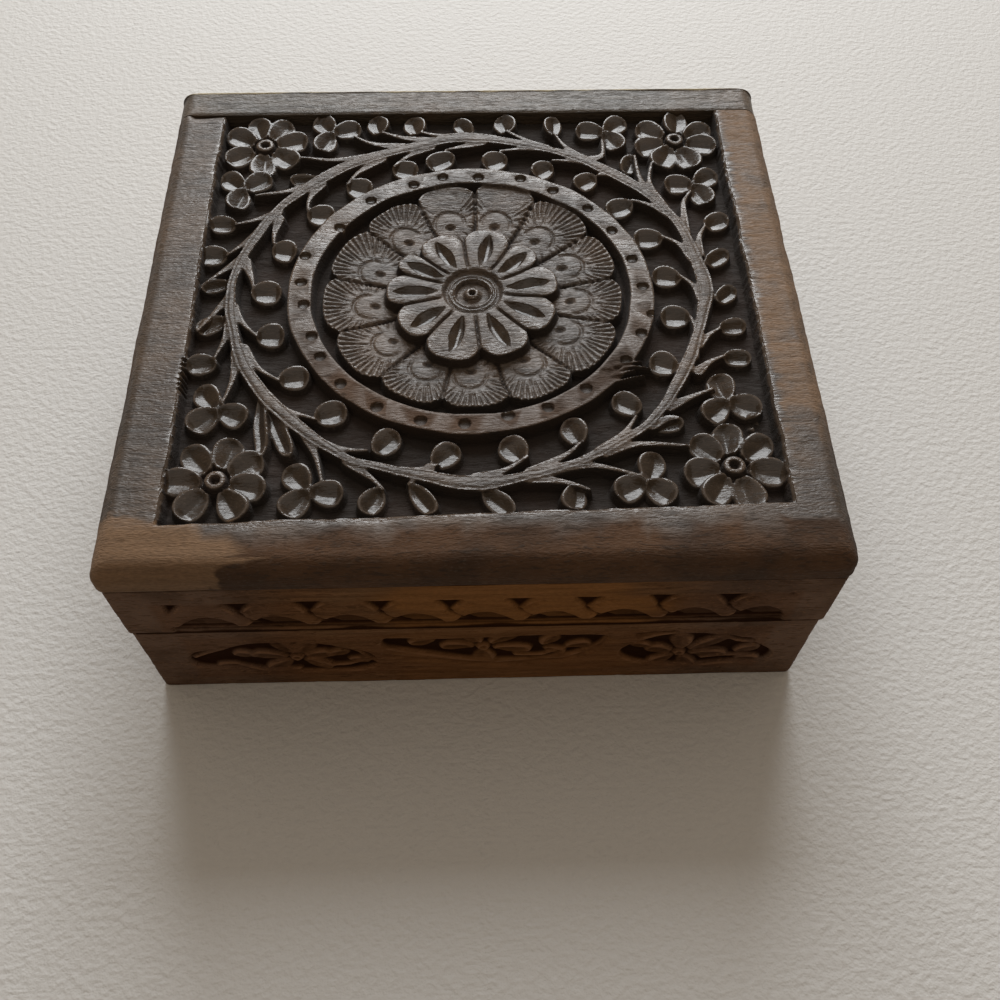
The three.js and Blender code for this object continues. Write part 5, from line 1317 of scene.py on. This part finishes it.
class TrinketBoxStudio(bpy.types.PropertyGroup):
    """Light and camera."""
    window_power: bpy.props.FloatProperty(name="Window light", default=22, min=0, unit="POWER",
                                          description="Power of the wide light behind the box")
    ceiling_power: bpy.props.FloatProperty(name="Ceiling light", default=8, min=0, unit="POWER",
                                           description="Power of the wide light over the box")
    sky_strength: bpy.props.FloatProperty(name="Sky", default=0.17, min=0,
                                          description="Strength of the light from all round")
    camera_place: bpy.props.FloatVectorProperty(name="Camera place", default=(-0.000083, -0.167743, 0.234198),
                                                subtype="TRANSLATION", description="Where the camera stands")
    camera_angles: bpy.props.FloatVectorProperty(
        name="Camera angles", default=(-0.042427, 1.008409, 0.017984), subtype="EULER",
        description="Turn round the box, height over the floor and roll of the camera")
    camera_lens: bpy.props.FloatProperty(name="Lens", default=38.2547, min=1,
                                         description="Focal length in millimetres on a 36 mm sensor")


def settings(context):
    """The sizes, the colours and the stage's settings."""
    scene = context.scene
    return scene.trinket_box_sizes, scene.trinket_box_colours, scene.trinket_box_studio


class InMillimetres:
    """The lengths of the settings in millimetres."""

    def __init__(self, group):
        self.group = group

    def __getattr__(self, name):
        return getattr(self.group, name) / MM


def sizes_and_looks(context):
    """The lengths, and the finishes by their slots, which are made once and then used again."""
    sizes, colours, _ = settings(context)
    made = {material.name.removeprefix("finish_"): material for material in bpy.data.materials
            if material.name.startswith("finish_")}
    return InMillimetres(sizes), made if "carved_top_wood" in made else all_looks(colours)


def dress(name, look):
    """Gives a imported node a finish."""
    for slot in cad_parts[name].material_slots:
        slot.link = "OBJECT"
        slot.material = look


class TRINKETBOX_OT_studio(bpy.types.Operator):
    """Floor, light and camera"""
    bl_idname = "trinket_box.studio"
    bl_label = "Studio"

    def execute(self, context):
        _, colours, studio = settings(context)
        scene = context.scene
        scene.view_settings.view_transform = "Standard"
        world = bpy.data.worlds.new("studio")
        world.use_nodes = True
        sky = world.node_tree.nodes["Background"].inputs
        sky["Color"].default_value, sky["Strength"].default_value = SKY_TINT, studio.sky_strength
        scene.world = world
        corners = [(x * FLOOR_REACH, y * FLOOR_REACH, 0) for x, y in ((-1, -1), (1, -1), (1, 1), (-1, 1))]
        floor = add_object("floor", make_mesh("floor", corners, [(0, 1, 2, 3)]))
        finish = Finish("floor_plastic")
        place = finish.place()
        pebble = finish.noise(place, (1.9, 1.6, 1.6), 2, 0.5)
        speck = finish.noise(place, (0.8, 0.8, 0.8), 2, 0.5)
        paint = finish.mix(pebble, shaded(colours.floor, 0.97), shaded(colours.floor, 1.03))
        floor.data.materials.append(finish.surface(paint, 0.62, pebble + speck * 0.3, 0.4, shine=0.3))
        # Place, width and height in metres; both lights face the box
        for name, place, width, height, power, tint in (
                ("window", (0.03, 1.13, 0.77), 0.9, 1.08, studio.window_power, (0.95, 0.98, 1.0)),
                ("ceiling", (0.0, 0.1, 1.6), 2.6, 2.6, studio.ceiling_power, (1.0, 0.97, 0.93))):
            light = bpy.data.lights.new(name, "AREA")
            light.shape, light.size, light.size_y = "RECTANGLE", width, height
            light.energy, light.color = power, tint
            lamp = add_object(name, light)
            lamp.location = place
            lamp.rotation_euler = (-Vector(place)).to_track_quat("-Z", "Y").to_euler()
        camera = add_object("camera", bpy.data.cameras.new("camera"))
        turn, lift, roll = studio.camera_angles
        back = Vector((math.sin(turn) * math.cos(lift), -math.cos(turn) * math.cos(lift), math.sin(lift)))
        right = Vector((0, 0, 1)).cross(back).normalized()
        up = back.cross(right)
        c, s = math.cos(roll), math.sin(roll)
        camera.matrix_world = Matrix.Translation(studio.camera_place) @ Matrix(
            (right * c + up * s, up * c - right * s, back)).transposed().to_4x4()
        camera.data.lens, camera.data.sensor_width = studio.camera_lens, FILM
        camera.data.clip_start = 0.01
        scene.camera = camera
        return {"FINISHED"}


class TRINKETBOX_OT_carved_top(bpy.types.Operator):
    """The lid's carved top board"""
    bl_idname = "trinket_box.carved_top"
    bl_label = "Carved top"

    def execute(self, context):
        make_lid_panel(*sizes_and_looks(context))
        return {"FINISHED"}


class TRINKETBOX_OT_back_strip(bpy.types.Operator):
    """The strip behind the carved field"""
    bl_idname = "trinket_box.back_strip"
    bl_label = "Back strip"

    def execute(self, context):
        make_back_strip(*sizes_and_looks(context))
        return {"FINISHED"}


class TRINKETBOX_OT_rails(bpy.types.Operator):
    """The lid's rails with their ribbon band"""
    bl_idname = "trinket_box.rails"
    bl_label = "Lid rails"

    def execute(self, context):
        sizes, looks = sizes_and_looks(context)
        make_rails(sizes, looks)
        dress("lid_back_rail", looks["rail_wood"])
        return {"FINISHED"}


class TRINKETBOX_OT_walls(bpy.types.Operator):
    """The base's walls with their flower band, and the bottom board"""
    bl_idname = "trinket_box.walls"
    bl_label = "Base walls"

    def execute(self, context):
        sizes, looks = sizes_and_looks(context)
        make_walls(sizes, looks)
        dress("base_back_wall", looks["wall_wood"])
        dress("bottom_board", looks["board_wood"])
        return {"FINISHED"}


class TRINKETBOX_OT_hinges(bpy.types.Operator):
    """The hinges and their screws"""
    bl_idname = "trinket_box.hinges"
    bl_label = "Hinges"

    def execute(self, context):
        _, looks = sizes_and_looks(context)
        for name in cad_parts:
            for ending, look in (("_leaf", "hinge_brass"), ("_pin", "hinge_pin_steel")):
                if name.startswith("hinge_") and name.endswith(ending):
                    dress(name, looks[look])
            if "_screw_" in name:
                dress(name, looks["screw_brass"])
        return {"FINISHED"}


class TRINKETBOX_PT_panel(bpy.types.Panel):
    """Sizes, colours and pieces of the trinket box"""
    bl_idname = "TRINKETBOX_PT_panel"
    bl_label = "Trinket Box"
    bl_space_type = "VIEW_3D"
    bl_region_type = "UI"
    bl_category = "Trinket Box"

    def draw(self, context):
        for operator in OPERATORS:
            self.layout.operator(operator.bl_idname)
        for group in settings(context):
            box = self.layout.box()
            for name in group.__annotations__:
                box.prop(group, name)


OPERATORS = (TRINKETBOX_OT_studio, TRINKETBOX_OT_carved_top, TRINKETBOX_OT_back_strip, TRINKETBOX_OT_rails,
             TRINKETBOX_OT_walls, TRINKETBOX_OT_hinges)
GROUPS = {"trinket_box_sizes": TrinketBoxSizes, "trinket_box_colours": TrinketBoxColours,
          "trinket_box_studio": TrinketBoxStudio}


def register():
    for item in (*GROUPS.values(), *OPERATORS, TRINKETBOX_PT_panel):
        bpy.utils.register_class(item)
    for name, group in GROUPS.items():
        setattr(bpy.types.Scene, name, bpy.props.PointerProperty(type=group))


def unregister():
    for name in GROUPS:
        delattr(bpy.types.Scene, name)
    for item in (TRINKETBOX_PT_panel, *reversed(OPERATORS), *GROUPS.values()):
        bpy.utils.unregister_class(item)


def main():
    register()
    bpy.ops.trinket_box.studio()
    bpy.ops.trinket_box.carved_top()
    bpy.ops.trinket_box.back_strip()
    bpy.ops.trinket_box.rails()
    bpy.ops.trinket_box.walls()
    bpy.ops.trinket_box.hinges()


if __name__ == "__main__":
    main()
